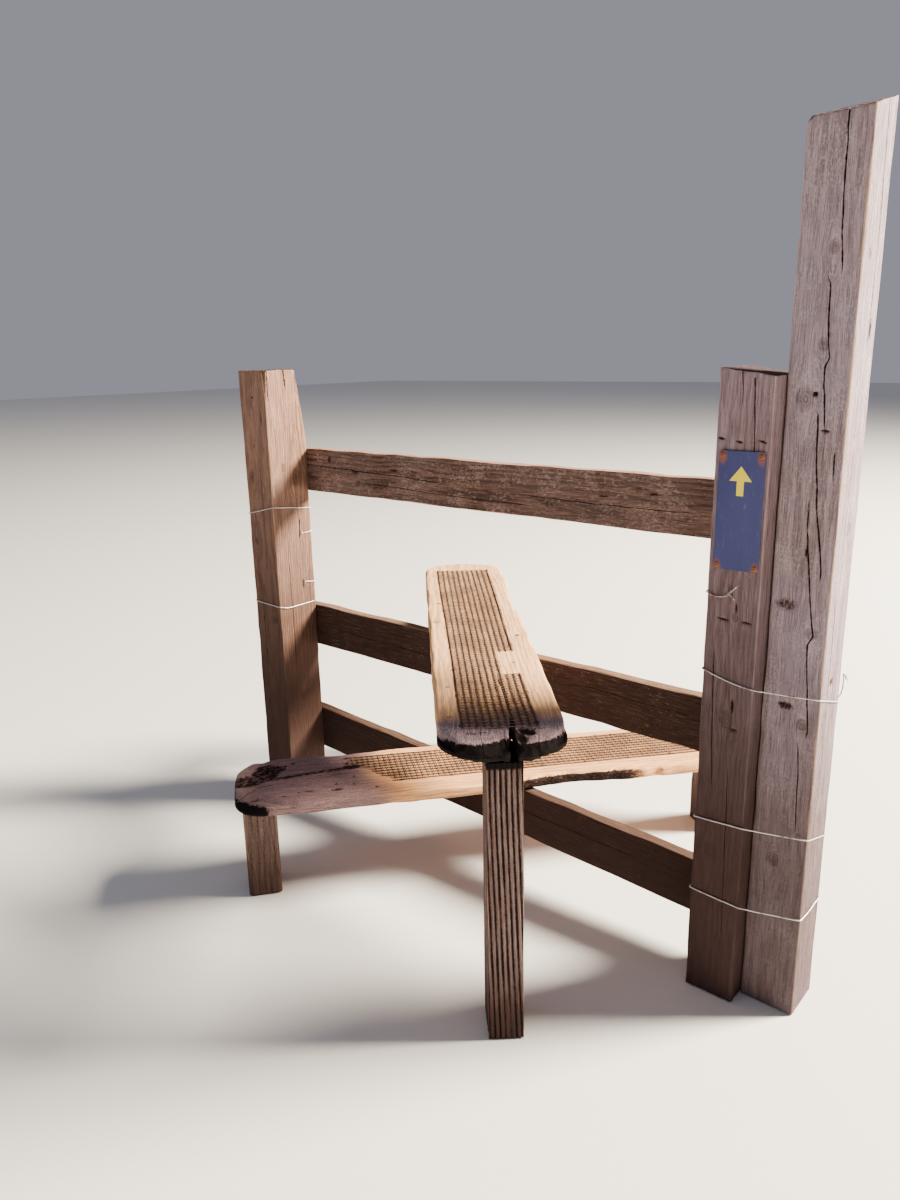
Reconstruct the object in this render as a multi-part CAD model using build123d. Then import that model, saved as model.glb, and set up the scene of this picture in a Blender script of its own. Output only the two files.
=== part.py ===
from build123d import *
import math
import os

# A weathered timber step stile. X runs along the fence, to the right as a
# walker meets it, Y runs over the stile to the far side and Z is up, in
# millimetres. The ground is Z = 0 and the origin is the middle of the
# stile's footprint.

# Opening and posts
clear_width = 1168.0
left_post_width = 103.0
left_post_depth = 124.0
left_post_height = 1159.0
right_post_width = 95.0
right_post_depth = 124.0
right_post_height = 1160.0
right_post_fall = 14.0
hand_post_width = 99.0
hand_post_depth = 96.0
hand_post_height = 1512.0
hand_post_side_rise = 4.0
hand_post_back_rise = 25.0
hand_post_setback = 40.0
post_arris = 4.0

# Corners split off the tops of the posts: along X, along Y and down
left_front_split = (12.0, 10.0, 110.0)
left_back_wane = (34.0, 28.0, 190.0)
hand_front_chip = (13.0, 20.0, 9.0)

# Rails, fixed on the far faces of the posts
rail_thickness = 30.0
rail_arris = 3.0
rail_end_inset = 6.0
top_rail_height = 114.0
top_rail_top = 961.0
middle_rail_height = 117.0
middle_rail_top = 542.0
bottom_rail_height = 122.0
bottom_rail_top = 216.0
bottom_rail_fall = 2.6

# Upper tread
upper_width = 225.0
upper_thickness = 40.0
upper_angle = 133.2
upper_crossing = -39.0
upper_near_reach = 674.0
upper_far_reach = 631.0
upper_near_round = 78.0
upper_near_underside = 12.0
upper_edge = 7.0
upper_step_start = 121.0
upper_step_run = 27.0
upper_step_depth = 10.0
split_width = 22.0
split_length = 78.0
split_offset = -13.0
split_lean = -5.5

# Lower tread
lower_width = 225.0
lower_thickness = 30.0
lower_angle = 53.6
lower_crossing = -3.0
lower_near_reach = 600.0
lower_far_reach = 645.0
lower_end_length = 76.0

# Its near end: distances in from the end, and where each lies from the right
# edge. The last inset lies on the left edge.
lower_near_insets = (74.0, 46.0, 11.0, 0.0, 3.0, 20.0, 60.0)
lower_near_places = (0.0, 26.0, 55.0, 95.0, 155.0, 192.0)
lower_edge = 7.0
rot_start = 40.0
rot_depth = 14.0
rot_length = 330.0

# Legs under the treads
upper_leg_width = 65.0
upper_leg_length = 90.0
upper_leg_inset = 19.0
lower_leg_width = 95.0
lower_leg_length = 86.0
lower_leg_inset = 12.0
lower_leg_offset = -3.0
leg_arris = 3.0

# Welded wire mesh laid on the treads
mesh_pitch = 12.7
mesh_wire = 1.2
mesh_strands = 11
mesh_overhang = 2.0
upper_mesh_offset = 3.0
upper_mesh_near = -603.0
upper_mesh_far = 525.0
lower_mesh_offset = 15.0
lower_mesh_near = -346.0
lower_mesh_far = 575.0
lower_mesh_slant = 110.0
patch_start = -341.0
patch_length = 135.0
patch_strands = 3

# Sign plate and its screws
plate_width = 78.0
plate_height = 197.0
plate_thickness = 2.0
plate_corner = 6.0
plate_side_gap = 10.0
plate_centre_height = 928.0
screw_head = 9.0
screw_dome = 3.0
screw_inset_x = 6.5
screw_inset_z = 7.0

# Fence wires bound round the posts
wire = 2.5
wire_clearance = 0.15
left_wraps = {"upper": (796.0, 821.0, 804.0, 792.0), "lower": (563.0, 564.0, 553.0, 556.0)}
right_wraps = {
    "upper": (646.0, 628.0, 622.0, 595.0, 604.0, 634.0),
    "middle": (360.0, 366.0, 364.0, 330.0, 338.0, 352.0),
    "lower": (212.0, 207.0, 201.0, 203.0, 205.0, 208.0),
}
wire_sides = 8
tie_gap = 18.0
tie_rise = 29.0
tie_reach = 60.0

# Heights of the tie wire's first four points above its lowest one
tie_bends = (6.0, 5.0, 0.0, 2.0)

# Places that follow from the sizes. The opening's middle is X = 0 here, the
# rails' near faces are Y = 0, and the whole is centred at the end.
left_inner = -clear_width / 2
left_outer = left_inner - left_post_width
right_inner = clear_width / 2
right_outer = right_inner + right_post_width
hand_outer = right_outer + hand_post_width
hand_front = -right_post_depth + hand_post_setback
hand_back = hand_front + hand_post_depth
rail_middle_y = rail_thickness / 2
wire_offset = wire / 2 + wire_clearance
wire_bend = post_arris + wire_offset
fall_pivot = Axis((0, rail_middle_y, bottom_rail_top), (0, 1, 0))


def post(x0, x1, y0, y1, height, side_rise, back_rise):
    """A sawn post with worn corners and a top cut on a slope."""
    tallest = height + max(side_rise, 0) + max(back_rise, 0) + post_arris
    body = Pos(x0, y0, 0) * Box(x1 - x0, y1 - y0, tallest, align=Align.MIN)
    body = fillet(body.edges().filter_by(Axis.Z), post_arris)
    side_slope = side_rise / (x1 - x0)
    back_slope = back_rise / (y1 - y0)
    top = Plane(
        origin=(x0, y0, height),
        x_dir=(1, 0, side_slope),
        z_dir=(-side_slope, -back_slope, 1),
    )
    return split(body, bisect_by=top, keep=Keep.BOTTOM)


def rail(top, height):
    """A board fixed on the far faces of the left and right posts."""
    x0 = left_outer + rail_end_inset
    x1 = right_outer - rail_end_inset
    body = Pos(x0, 0, top - height) * Box(x1 - x0, rail_thickness, height, align=Align.MIN)
    return fillet(body.edges().filter_by(Axis.X), rail_arris)


def board(outline, thickness, edge):
    """A tread in its own frame, X along it, its underside at Z = 0."""
    body = extrude(outline, amount=thickness)
    return fillet(body.faces().sort_by(Axis.Z)[-1].edges(), edge)


def place_upper(shape):
    return Pos(upper_crossing, rail_middle_y, middle_rail_top) * Rot(0, 0, upper_angle) * shape


def place_lower(shape):
    level = Pos(lower_crossing, rail_middle_y, bottom_rail_top) * Rot(0, 0, lower_angle) * shape
    return level.rotate(fall_pivot, bottom_rail_fall)


def upper_outline():
    """Blunt near end with worn corners, half-round far end, a step on one side."""
    half = upper_width / 2
    near = -upper_near_reach
    corner = upper_near_round
    shoulder = upper_far_reach - half
    narrow = -half + upper_step_depth
    with BuildSketch() as sketch:
        with BuildLine():
            Line((near, half - corner), (near, -half + corner))
            a = near + corner * (1 - math.sqrt(0.5))
            b = half - corner * (1 - math.sqrt(0.5))
            ThreePointArc((near, -half + corner), (a, -b), (near + corner, -half))
            Line((near + corner, -half), (upper_step_start, -half))
            Line((upper_step_start, -half), (upper_step_start + upper_step_run, narrow))
            Line((upper_step_start + upper_step_run, narrow), (shoulder, -half))
            ThreePointArc((shoulder, -half), (upper_far_reach, 0), (shoulder, half))
            Line((shoulder, half), (near + corner, half))
            ThreePointArc((near + corner, half), (a, b), (near, half - corner))
        make_face()
    wedge = Polygon(
        (near, split_offset + split_width / 2),
        (near, split_offset - split_width / 2),
        (near + split_length, split_offset + split_lean),
        align=None,
    )
    return sketch.sketch - wedge


def lower_outline():
    """Bowed ends, and a stretch of the near edge that has rotted back."""
    half = lower_width / 2
    near = -lower_near_reach
    far = lower_far_reach
    bow = lower_end_length
    places = (*lower_near_places, lower_width)
    end = [(near + inset, place - half) for inset, place in zip(lower_near_insets, places)]
    with BuildSketch() as sketch:
        with BuildLine():
            Spline(*reversed(end))
            Line(end[0], (rot_start, -half))
            Spline(
                (rot_start, -half),
                (rot_start + 0.3 * rot_length, -half + 0.7 * rot_depth),
                (rot_start + 0.6 * rot_length, -half + rot_depth),
                (rot_start + rot_length, -half),
                tangents=[(1, 0), (1, 0)],
            )
            Line((rot_start + rot_length, -half), (far - bow, -half))
            ThreePointArc((far - bow, -half), (far, 0), (far - bow, half))
            Line((far - bow, half), end[-1])
        make_face()
    return sketch.sketch


def worn_underside(body):
    """Bevels the lower edge round the upper tread's near end, in five cuts."""
    corner = upper_near_round
    for turn in (-60, -30, 0, 30, 60):
        out = Vector(-1, 0, 0).rotate(Axis.Z, turn)
        side = math.copysign(upper_width / 2 - corner, out.Y) if turn else 0
        edge = Vector(-upper_near_reach + corner, side, upper_near_underside) + out * corner
        body = split(body, bisect_by=Plane(origin=edge, z_dir=out - Vector(0, 0, 1)), keep=Keep.BOTTOM)
    return body


def leg(place, angle, crossing, along, across, length, width):
    """A leg from the ground to the underside of its tread."""
    reach = 2 * (upper_near_reach + lower_far_reach)
    body = Box(length, width, middle_rail_top + clear_width, align=(Align.CENTER, Align.CENTER, Align.MIN))
    body = fillet(body.edges().filter_by(Axis.Z), leg_arris)
    body = Pos(crossing, rail_middle_y, 0) * Rot(0, 0, angle) * Pos(along, across, 0) * body
    above = place(Box(reach, reach, reach, align=(Align.CENTER, Align.CENTER, Align.MIN)))
    return body - above


def bars(spans, thickness, z, along_x):
    """Square wires at height z, each (start, end, place), along X or Y."""
    made = []
    for start, end, where in spans:
        size = (end - start, thickness) if along_x else (thickness, end - start)
        middle = ((start + end) / 2, where) if along_x else (where, (start + end) / 2)
        bar = Box(size[0], size[1], thickness, align=(Align.CENTER, Align.CENTER, Align.MIN))
        made.append(Pos(middle[0], middle[1], z) * bar)
    return made


def mesh(near, far, slant, offset, top, patch):
    """Strands along the tread, and the cross wires welded on top of them.

    The near end is cut on a slant, and a patch may be cut out of one side.
    """
    half = (mesh_strands - 1) * mesh_pitch / 2
    rows = [offset - half + i * mesh_pitch for i in range(mesh_strands)]
    starts = [near + slant * (1 - i / (mesh_strands - 1)) for i in range(mesh_strands)]
    strands = []
    for i, (start, y) in enumerate(zip(starts, rows)):
        if patch and i < patch_strands:
            strands.append((start, patch[0], y))
            strands.append((patch[1], far, y))
        else:
            strands.append((start, far, y))
    crosses = []
    for i in range(int((far - near) / mesh_pitch) + 1):
        x = near + mesh_wire + i * mesh_pitch
        reached = [y for start, y in zip(starts, rows) if start < x]
        if patch and patch[0] < x < patch[1]:
            reached = rows[patch_strands:]
        if len(reached) > 1:
            crosses.append((reached[0] - mesh_overhang, rows[-1] + mesh_overhang, x))
    return bars(strands, mesh_wire, top, True), bars(crosses, mesh_wire, top + mesh_wire, False)


def bend_points(before, corner, after, radius):
    """Two points that round a corner, on the outside of a bend of that radius."""
    back = (before - corner).normalized()
    ahead = (after - corner).normalized()
    turn = math.pi - math.radians(back.get_angle(ahead))
    reach = radius * (math.tan(turn / 2) - math.tan(turn / 4))
    return [corner + back * reach, corner + ahead * reach]


def bent_wire(points, bend):
    """A wire of few sides through the points, with every corner bent."""
    corners = [Vector(*point) for point in points]
    route = [corners[0]]
    for before, corner, after in zip(corners, corners[1:], corners[2:]):
        route += bend_points(before, corner, after, bend)
    route.append(corners[-1])
    path = Polyline(*route)
    section = Plane(origin=path @ 0, z_dir=path % 0) * RegularPolygon(wire / 2, wire_sides)
    return sweep(section, path=path, transition=Transition.RIGHT)


def wrap(corners, heights):
    """A wire bound once round the posts, from the far side and back to it.

    corners run round the posts from the near left one, pushed out by the
    wire, and the ends meet in the middle of the last side.
    """
    ring = [Vector(x, y, z) for (x, y), z in zip(corners, heights)]
    step = (ring[0] - ring[-1]).normalized() * wire
    middle = (ring[0] + ring[-1]) / 2
    return bent_wire([middle + step, *ring, middle - step], wire_bend)


def split_corner(body, corner, inward, size):
    """Cuts off a corner of a post's top by the plane through three points."""
    x, y, z = corner
    along, across, down = size
    a = Vector(x + inward[0] * along, y, z)
    b = Vector(x, y + inward[1] * across, z)
    c = Vector(x, y, z - down)
    normal = (b - a).cross(c - a).normalized()
    if normal.Z < 0:
        normal = -normal
    return split(body, bisect_by=Plane(origin=a, z_dir=normal), keep=Keep.BOTTOM)


parts = {}
left_post = post(left_outer, left_inner, -left_post_depth, 0, left_post_height, 0, 0)
left_post = split_corner(
    left_post, (left_inner, -left_post_depth, left_post_height), (-1, 1), left_front_split
)
parts["left_post"] = split_corner(
    left_post, (left_inner, 0, left_post_height), (-1, -1), left_back_wane
)
parts["right_post"] = post(
    right_inner, right_outer, -right_post_depth, 0, right_post_height, -right_post_fall, 0
)
hand_post = post(
    right_outer, hand_outer, hand_front, hand_back,
    hand_post_height, hand_post_side_rise, hand_post_back_rise,
)
parts["hand_post"] = split_corner(
    hand_post, (right_outer, hand_front, hand_post_height), (1, 1), hand_front_chip
)

parts["top_rail"] = rail(top_rail_top, top_rail_height)
parts["middle_rail"] = rail(middle_rail_top, middle_rail_height)
parts["bottom_rail"] = rail(bottom_rail_top, bottom_rail_height).rotate(fall_pivot, bottom_rail_fall)

parts["upper_tread"] = place_upper(worn_underside(board(upper_outline(), upper_thickness, upper_edge)))
parts["lower_tread"] = place_lower(board(lower_outline(), lower_thickness, lower_edge))

upper_leg_places = {
    "near": -upper_near_reach + upper_leg_inset + upper_leg_length / 2,
    "far": upper_far_reach - upper_leg_inset - upper_leg_length / 2,
}
lower_leg_places = {
    "near": -lower_near_reach + lower_leg_inset + lower_leg_length / 2,
    "far": lower_far_reach - lower_leg_inset - lower_leg_length / 2,
}
for end, along in upper_leg_places.items():
    parts["upper_" + end + "_leg"] = leg(
        place_upper, upper_angle, upper_crossing, along, 0, upper_leg_length, upper_leg_width
    )
for end, along in lower_leg_places.items():
    parts["lower_" + end + "_leg"] = leg(
        place_lower, lower_angle, lower_crossing, along, lower_leg_offset, lower_leg_length, lower_leg_width
    )

patch = (patch_start, patch_start + patch_length)
strands, crosses = mesh(upper_mesh_near, upper_mesh_far, 0, upper_mesh_offset, upper_thickness, patch)
parts["upper_mesh_strands"] = [place_upper(bar) for bar in strands]
parts["upper_mesh_cross_wires"] = [place_upper(bar) for bar in crosses]
strands, crosses = mesh(
    lower_mesh_near, lower_mesh_far, lower_mesh_slant, lower_mesh_offset, lower_thickness, None
)
parts["lower_mesh_strands"] = [place_lower(bar) for bar in strands]
parts["lower_mesh_cross_wires"] = [place_lower(bar) for bar in crosses]

plate_x = right_inner + plate_side_gap + plate_width / 2
plate_back = -right_post_depth
plate = Pos(plate_x, plate_back, plate_centre_height) * Rot(90, 0, 0) * extrude(
    RectangleRounded(plate_width, plate_height, plate_corner), amount=plate_thickness
)
parts["sign_plate"] = plate

screws = []
for side in (-1, 1):
    for rise in (-1, 1):
        x = plate_x + side * (plate_width / 2 - screw_inset_x)
        z = plate_centre_height + rise * (plate_height / 2 - screw_inset_z)
        head_radius = ((screw_head / 2) ** 2 + screw_dome**2) / (2 * screw_dome)
        ball = Pos(0, 0, screw_dome - head_radius) * Sphere(head_radius)
        dome = split(ball, bisect_by=Plane.XY, keep=Keep.TOP)
        screws.append(Pos(x, plate_back - plate_thickness, z) * Rot(90, 0, 0) * dome)
parts["sign_screws"] = screws

w = wire_offset
left_corners = [
    (left_outer - w, -left_post_depth - w),
    (left_inner + w, -left_post_depth - w),
    (left_inner + w, w),
    (left_outer - w, w),
]
for name, heights in left_wraps.items():
    parts["left_post_wire_" + name] = wrap(left_corners, heights)

right_corners = [
    (right_inner - w, -right_post_depth - w),
    (right_outer + w, -right_post_depth - w),
    (hand_outer + w, hand_front - w),
    (hand_outer + w, hand_back + w),
    (right_outer - w, hand_back + w),
    (right_inner - w, w),
]
for name, heights in right_wraps.items():
    parts["right_posts_wire_" + name] = wrap(right_corners, heights)

tie_y = -right_post_depth - wire_offset
tie_top = plate_centre_height - plate_height / 2 - tie_gap
tie_low = tie_top - tie_rise
tie_points = [
    (right_inner - w, -0.75 * right_post_depth, tie_low + tie_bends[0]),
    (right_inner - w, tie_y, tie_low + tie_bends[1]),
    (right_inner + 0.3 * tie_reach, tie_y, tie_low + tie_bends[2]),
    (right_inner + 0.57 * tie_reach, tie_y, tie_low + tie_bends[3]),
    (right_inner + 0.75 * tie_reach, tie_y, tie_low + 0.5 * tie_rise),
    (right_inner + tie_reach, tie_y, tie_top),
]
parts["tie_wire"] = bent_wire(tie_points, wire_bend)

pieces = {name: made if isinstance(made, list) else [made] for name, made in parts.items()}
boxes = [piece.bounding_box() for made in pieces.values() for piece in made]
low_x, high_x = min(box.min.X for box in boxes), max(box.max.X for box in boxes)
low_y, high_y = min(box.min.Y for box in boxes), max(box.max.Y for box in boxes)
centre = Pos(-(low_x + high_x) / 2, -(low_y + high_y) / 2, 0)

os.makedirs("parts", exist_ok=True)
for name, made in pieces.items():
    moved = [centre * piece for piece in made]
    shape = moved[0] if len(moved) == 1 else Compound(moved)
    export_step(shape, "parts/" + name + ".step")

print("moved by", centre.position)
print("spans", high_x - low_x, high_y - low_y)
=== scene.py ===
"""Weathered timber step stile: posts, rails, crossing treads on legs, wire mesh, fence wires and a sign plate.

Lengths are in millimetres until a mesh is made, and metres from there on.
"""

import math

import bpy
import numpy as np
from mathutils import Matrix, Vector


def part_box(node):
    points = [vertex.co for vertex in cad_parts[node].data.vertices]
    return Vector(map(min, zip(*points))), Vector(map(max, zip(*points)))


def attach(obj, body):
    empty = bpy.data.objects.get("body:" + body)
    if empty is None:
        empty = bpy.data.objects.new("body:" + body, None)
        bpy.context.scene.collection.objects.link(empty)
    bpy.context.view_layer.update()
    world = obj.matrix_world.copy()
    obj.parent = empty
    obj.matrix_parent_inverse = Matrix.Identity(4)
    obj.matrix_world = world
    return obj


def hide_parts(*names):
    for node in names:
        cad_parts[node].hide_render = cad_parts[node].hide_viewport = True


bl_info = {
    "name": "Wooden Step Stile",
    "version": (1, 0, 0),
    "blender": (4, 5, 0),
    "location": "View3D > Sidebar > Stile",
    "description": "Builds the timbers, wires and sign plate of a weathered step stile",
    "category": "Object",
}

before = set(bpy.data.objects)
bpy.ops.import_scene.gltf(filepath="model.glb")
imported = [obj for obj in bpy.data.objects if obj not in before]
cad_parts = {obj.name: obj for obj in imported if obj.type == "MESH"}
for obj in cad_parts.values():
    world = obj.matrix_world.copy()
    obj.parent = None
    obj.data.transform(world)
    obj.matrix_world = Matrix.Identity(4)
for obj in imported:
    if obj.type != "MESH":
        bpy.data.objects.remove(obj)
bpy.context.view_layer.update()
MM = 0.001
BODY = "root"


def node_box(name):
    """Lowest and highest corner of a node, in millimetres."""
    low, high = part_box(name)
    return np.array(low) / MM, np.array(high) / MM


LEFT_LOW, LEFT_HIGH = node_box("left_post")
RIGHT_LOW, RIGHT_HIGH = node_box("right_post")
HAND_LOW, HAND_HIGH = node_box("hand_post")
RAIL_LOW, RAIL_HIGH = node_box("top_rail")
MIDDLE_HIGH = node_box("middle_rail")[1]
PLATE_LOW, PLATE_HIGH = node_box("sign_plate")
# The middle of the opening, and the rails' near face and thickness
OPENING_X = (LEFT_HIGH[0] + RIGHT_LOW[0]) / 2
RAIL_Y = RAIL_LOW[1]
RAIL_THICKNESS = RAIL_HIGH[1] - RAIL_LOW[1]

# Treads: angle from the fence line, where the middle line crosses the rails,
# how far each end reaches from there, thickness, underside at the crossing and fall
TREAD_WIDTH = 225.0
UPPER = {"angle": 133.2, "crossing": -39.0, "near": 674.0, "far": 631.0, "thick": 40.0, "under": 542.0, "fall": 0.0}
LOWER = {"angle": 53.6, "crossing": -3.0, "near": 600.0, "far": 645.0, "thick": 30.0, "under": 216.0, "fall": 2.6}

# Where along the upper tread its mesh strands drift apart, how deep wear may let
# the mesh down, how far it stands off the worn top, and a cut level that cuts nothing
FAN_REACH = (350.0, 1150.0)
DEEPEST_WEAR = 9
MESH_LIFT = 0.25
NO_CUT = -1.0


# Noise


def smooth(value, low, high):
    """A smooth step from 0 at low to 1 at high."""
    t = np.clip((value - low) / (high - low), 0, 1)
    return t * t * (3 - 2 * t)


def fade(value, low, high):
    """A smooth step from 1 at low to 0 at high."""
    return smooth(-value, -high, -low)


def hashed(cell, seed):
    """One random number from 0 to 1 for each cell of a whole-number lattice."""
    i, j, k = (cell[..., n].astype(np.int64) for n in range(3))
    h = (i * 73856093) ^ (j * 19349663) ^ (k * 83492791) ^ (seed * 668265263)
    h = ((h ^ (h >> 13)) * 1274126177) & 0x7FFFFFFF
    return ((h ^ (h >> 15)) & 0xFFFF) / 65535.0


def noise(place, seed):
    """Smooth value noise from 0 to 1."""
    cell = np.floor(place)
    t = place - cell
    t = t * t * (3 - 2 * t)
    total = np.zeros(place.shape[:-1])
    for corner in np.ndindex(2, 2, 2):
        weight = np.ones(place.shape[:-1])
        for axis, up in enumerate(corner):
            weight = weight * (t[..., axis] if up else 1 - t[..., axis])
        total += weight * hashed(cell + np.array(corner), seed)
    return total


def bumps(seed, *place):
    """Noise at a place of which up to two last coordinates are left out."""
    return noise(np.stack(np.broadcast_arrays(*place, *[0.0] * (3 - len(place))), -1), seed)


def wood_noise(place, along, across, seed, octaves=2):
    """Noise that is stretched along the grain, which runs along X."""
    scaled = place / np.array([along, across, across])
    total, weight, size = 0.0, 1.0, 0.0
    for octave in range(octaves):
        total = total + weight * noise(scaled * 2**octave, seed + 17 * octave)
        size += weight
        weight *= 0.5
    return total / size


def axes_of(place):
    return place[..., 0], place[..., 1], place[..., 2]


# Meshes


def new_object(name, data):
    piece = bpy.data.objects.new(name, data)
    bpy.context.scene.collection.objects.link(piece)
    return piece


def mesh_object(name, points, faces, material, smooth_shaded=True):
    """A mesh object from points in millimetres."""
    data = bpy.data.meshes.new(name)
    data.from_pydata((np.asarray(points, float) * MM).tolist(), [], faces)
    data.polygons.foreach_set("use_smooth", [smooth_shaded] * len(data.polygons))
    data.materials.append(material)
    data.update()
    return new_object(name, data)


def finish_piece(piece, slot, *nodes):
    """Lets a finished piece ride on the stile and stand for its nodes."""
    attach(piece, BODY)
    if nodes:
        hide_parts(*nodes)
    return piece


def spread(length, count, edge):
    """Places from 0 to length, close together near both ends."""
    dense = np.array([0.0, 0.15, 0.42, 0.75, 1.15]) * edge
    middle = np.linspace(dense[-1], length - dense[-1], count - 7)
    return np.concatenate([dense[:-1], middle, (length - dense[:-1])[::-1]])


def crowded(base, low, high, times):
    """The same number of places, but closer together between low and high."""
    steps = np.diff(base)
    middles = base[1:] - steps / 2
    weight = steps * np.where((middles > low) & (middles < high), times, 1.0)
    weight[:4], weight[-4:] = 0, 0
    run = np.concatenate([[0], np.cumsum(weight)])
    inner = np.interp(np.linspace(0, run[-1], len(base) - 8), run[4:-4], base[4:-4])
    return np.concatenate([base[:4], inner, base[-4:]])


# Timbers

FACES = ("front", "right", "back", "left")
# The columns of points that follow a check: their places in half widths, how far
# the outer two stay clear of it, how deep the middle five are, and how dark: painted shade in the crack
CHECK_STEPS = np.array([-1.0, -1.0, -0.6, 0.0, 0.6, 1.0, 1.0])
CHECK_CLEAR = np.array([-0.9, 0, 0, 0, 0, 0, 0.9])
CHECK_CUT = np.array([0, 0.3, 1, 0.3, 0])
CHECK_PAINTED_SHADE = np.array([0.15, 0.8, 1, 0.8, 0.15])
CHECK_COLUMNS = len(CHECK_STEPS)
OPEN_NEAR, OPEN_FAR = {"open_near": True}, {"open_far": True}
CHECK_HOLD = 30.0
NICK_REACH = 12.0
KNOT_REACH = 4.0


class Timber:
    """A sawn timber in its own frame: X along the grain, then across and through.

    The front face is at Z = 0 and the back face at Z = depth; left and right
    are Y = 0 and Y = width. Every feature cuts inwards, so the timber stays
    inside its sawn size.
    """

    def __init__(self, size, rows, columns, seed, **form):
        self.size = np.array(size)
        self.rows, self.columns, self.seed = rows, columns, seed
        self.arris, self.end_arris, self.end_rough, self.hollow = 4.0, 3.0, 1.2, 1.0
        self.fine = None
        self.checks, self.knots, self.nicks = [], [], []
        self.sloping_end = False
        self.near_inset = self.far_inset = lambda y, z: 0 * y
        self.top_wear = self.under_wear = lambda x, y: 0 * x
        self.groove = self.stain = lambda x, y, z: 0 * x
        self.side_wear = lambda x: (0 * x, 0 * x)
        for name, value in form.items():
            setattr(self, name, value)

    def add(self, face, checks=(), knots=(), nicks=()):
        """Drying cracks along paths of (along, across) places, knots and nicks on a face.

        A row holds the first entries of its kind, in order, and may end with a dict of others.
        """
        kinds = (
            (self.checks, checks, ("width", "depth", "path")),
            (self.knots, knots, ("along", "across", "radius")),
            (self.nicks, nicks, ("along", "across", "length", "width", "depth")),
        )
        for features, rows, names in kinds:
            for row in rows:
                more = row[len(names)] if len(row) > len(names) else {}
                features.append({"face": face, **dict(zip(names, row)), **more})

    def face_columns(self, face, xs):
        """Where each column runs on a face, how deep its checks are, and the painted shade in them.

        Columns near a check follow its path, so that it stays narrow.
        """
        broad = face in ("front", "back")
        base = spread(self.size[1 if broad else 2], self.columns[0 if broad else 1], self.arris * 1.6)
        if self.fine and broad:
            base = crowded(base, *self.fine)
        runs = np.tile(base, (len(xs), 1))
        depth, dark = np.zeros_like(runs), np.zeros_like(runs)
        checks = [c for c in self.checks if c["face"] == face]
        checks.sort(key=lambda c: c.get("rank", np.mean([p[1] for p in c["path"]])))
        places, gaps, holds, middles = [], [], [], []
        for check in checks:
            path = np.array(check["path"], float)
            first, last = path[0, 0], path[-1, 0]
            wander = bumps(5, xs / 23, 0, path[0, 1]) - 0.5
            places.append(np.interp(xs, path[:, 0], path[:, 1]) + check.get("wander", 1.6) * wander)
            taper = check.get("taper", 28.0)
            start = 1.0 if check.get("open_near") else smooth(xs, first, first + taper)
            end = 1.0 if check.get("open_far") else smooth(-xs, -last, -last + taper)
            gaps.append(start * end)
            beyond = np.maximum(np.maximum(first - xs, xs - last), 0)
            holds.append(1 - smooth(beyond, 0, CHECK_HOLD))
            middle = int(np.argmin(abs(base - path[:, 1].mean())))
            middles.append(max(middle, middles[-1] + CHECK_COLUMNS if middles else CHECK_COLUMNS))
        limit = len(base) - 1 - CHECK_COLUMNS
        for i in reversed(range(len(middles))):
            middles[i] = min(middles[i], limit)
            limit = middles[i] - CHECK_COLUMNS
        low, high = base[3], base[-4]
        for row in range(len(xs)):
            held = [i for i, hold in enumerate(holds) if hold[row] > 0.999]
            anchors = [low, *(base[middles[i]] for i in held), high]
            free = np.interp(base, anchors, [low, *(places[i][row] for i in held), high])
            anchors, targets = [low], [low]
            for i, check in enumerate(checks):
                hold = holds[i][row]
                ragged = 0.75 + 0.5 * hashed(np.array([row // 2, i, 7]), self.seed)
                half = check["width"] / 2 * (0.3 + 0.7 * gaps[i][row]) * ragged
                near = middles[i] + np.arange(-3, 4)
                anchors.extend(base[near])
                targets.extend(hold * (places[i][row] + CHECK_STEPS * half + CHECK_CLEAR) + (1 - hold) * free[near])
            runs[row, 3:-3] = np.interp(base[3:-3], [*anchors, high], np.maximum.accumulate([*targets, high]))
        for middle, gap, check in zip(middles, gaps, checks):
            depth[:, middle - 2 : middle + 3] = check["depth"] * CHECK_CUT * gap[:, None]
            dark[:, middle - 2 : middle + 3] = CHECK_PAINTED_SHADE * np.minimum(1, gap * 1.5)[:, None]
        return runs, depth, dark

    def rounded(self, box):
        """Box points moved to rounded edges, with the direction that each faces."""
        worn = noise(box / np.array([45.0, 400.0, 400.0]) + self.seed, self.seed + 3)
        radius = self.arris * (0.5 + worn)
        radius = np.stack([np.minimum(radius, self.end_arris * (0.5 + worn)), radius, radius], -1)
        inner = np.clip(box, radius, self.size - radius)
        out = (box - inner) / radius
        facing = out / np.maximum(np.linalg.norm(out, axis=-1, keepdims=True), 1e-9)
        return inner + radius * facing, facing

    def shaped(self, place):
        """Wear of the sides, of the top and underside, and the form of the ends."""
        x, y, z = axes_of(place)
        length, width, depth = self.size
        low, high = self.side_wear(x)
        across = y + low * (1 - y / width) - high * y / width
        through = z - self.top_wear(x, y) * z / depth + self.under_wear(x, y) * (1 - z / depth)
        near, far = self.near_inset(across, through), self.far_inset(across, through)
        along = near + x * (length - near - far) / length
        return np.stack([along, across, through], -1)

    def on_face(self, face, place):
        """Distance through the timber from a face, and the place across it."""
        _, y, z = axes_of(place)
        return {"front": (z, y), "back": (self.size[2] - z, y), "left": (y, z), "right": (self.size[1] - y, z)}[face]

    def knot_distance(self, place):
        """Distance to the nearest knot, in knot radii."""
        nearest = np.full(place.shape[:-1], KNOT_REACH)
        for knot in self.knots:
            inward, across = self.on_face(knot["face"], place)
            along = (place[..., 0] - knot["along"]) / knot.get("stretch", 1.25)
            away = np.hypot(along, across - knot["across"]) / knot["radius"]
            away = away * (0.8 + 0.4 * noise(place / (knot["radius"] * 0.9), self.seed + 2))
            nearest = np.minimum(nearest, away + inward / 12.0)
        return nearest

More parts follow.
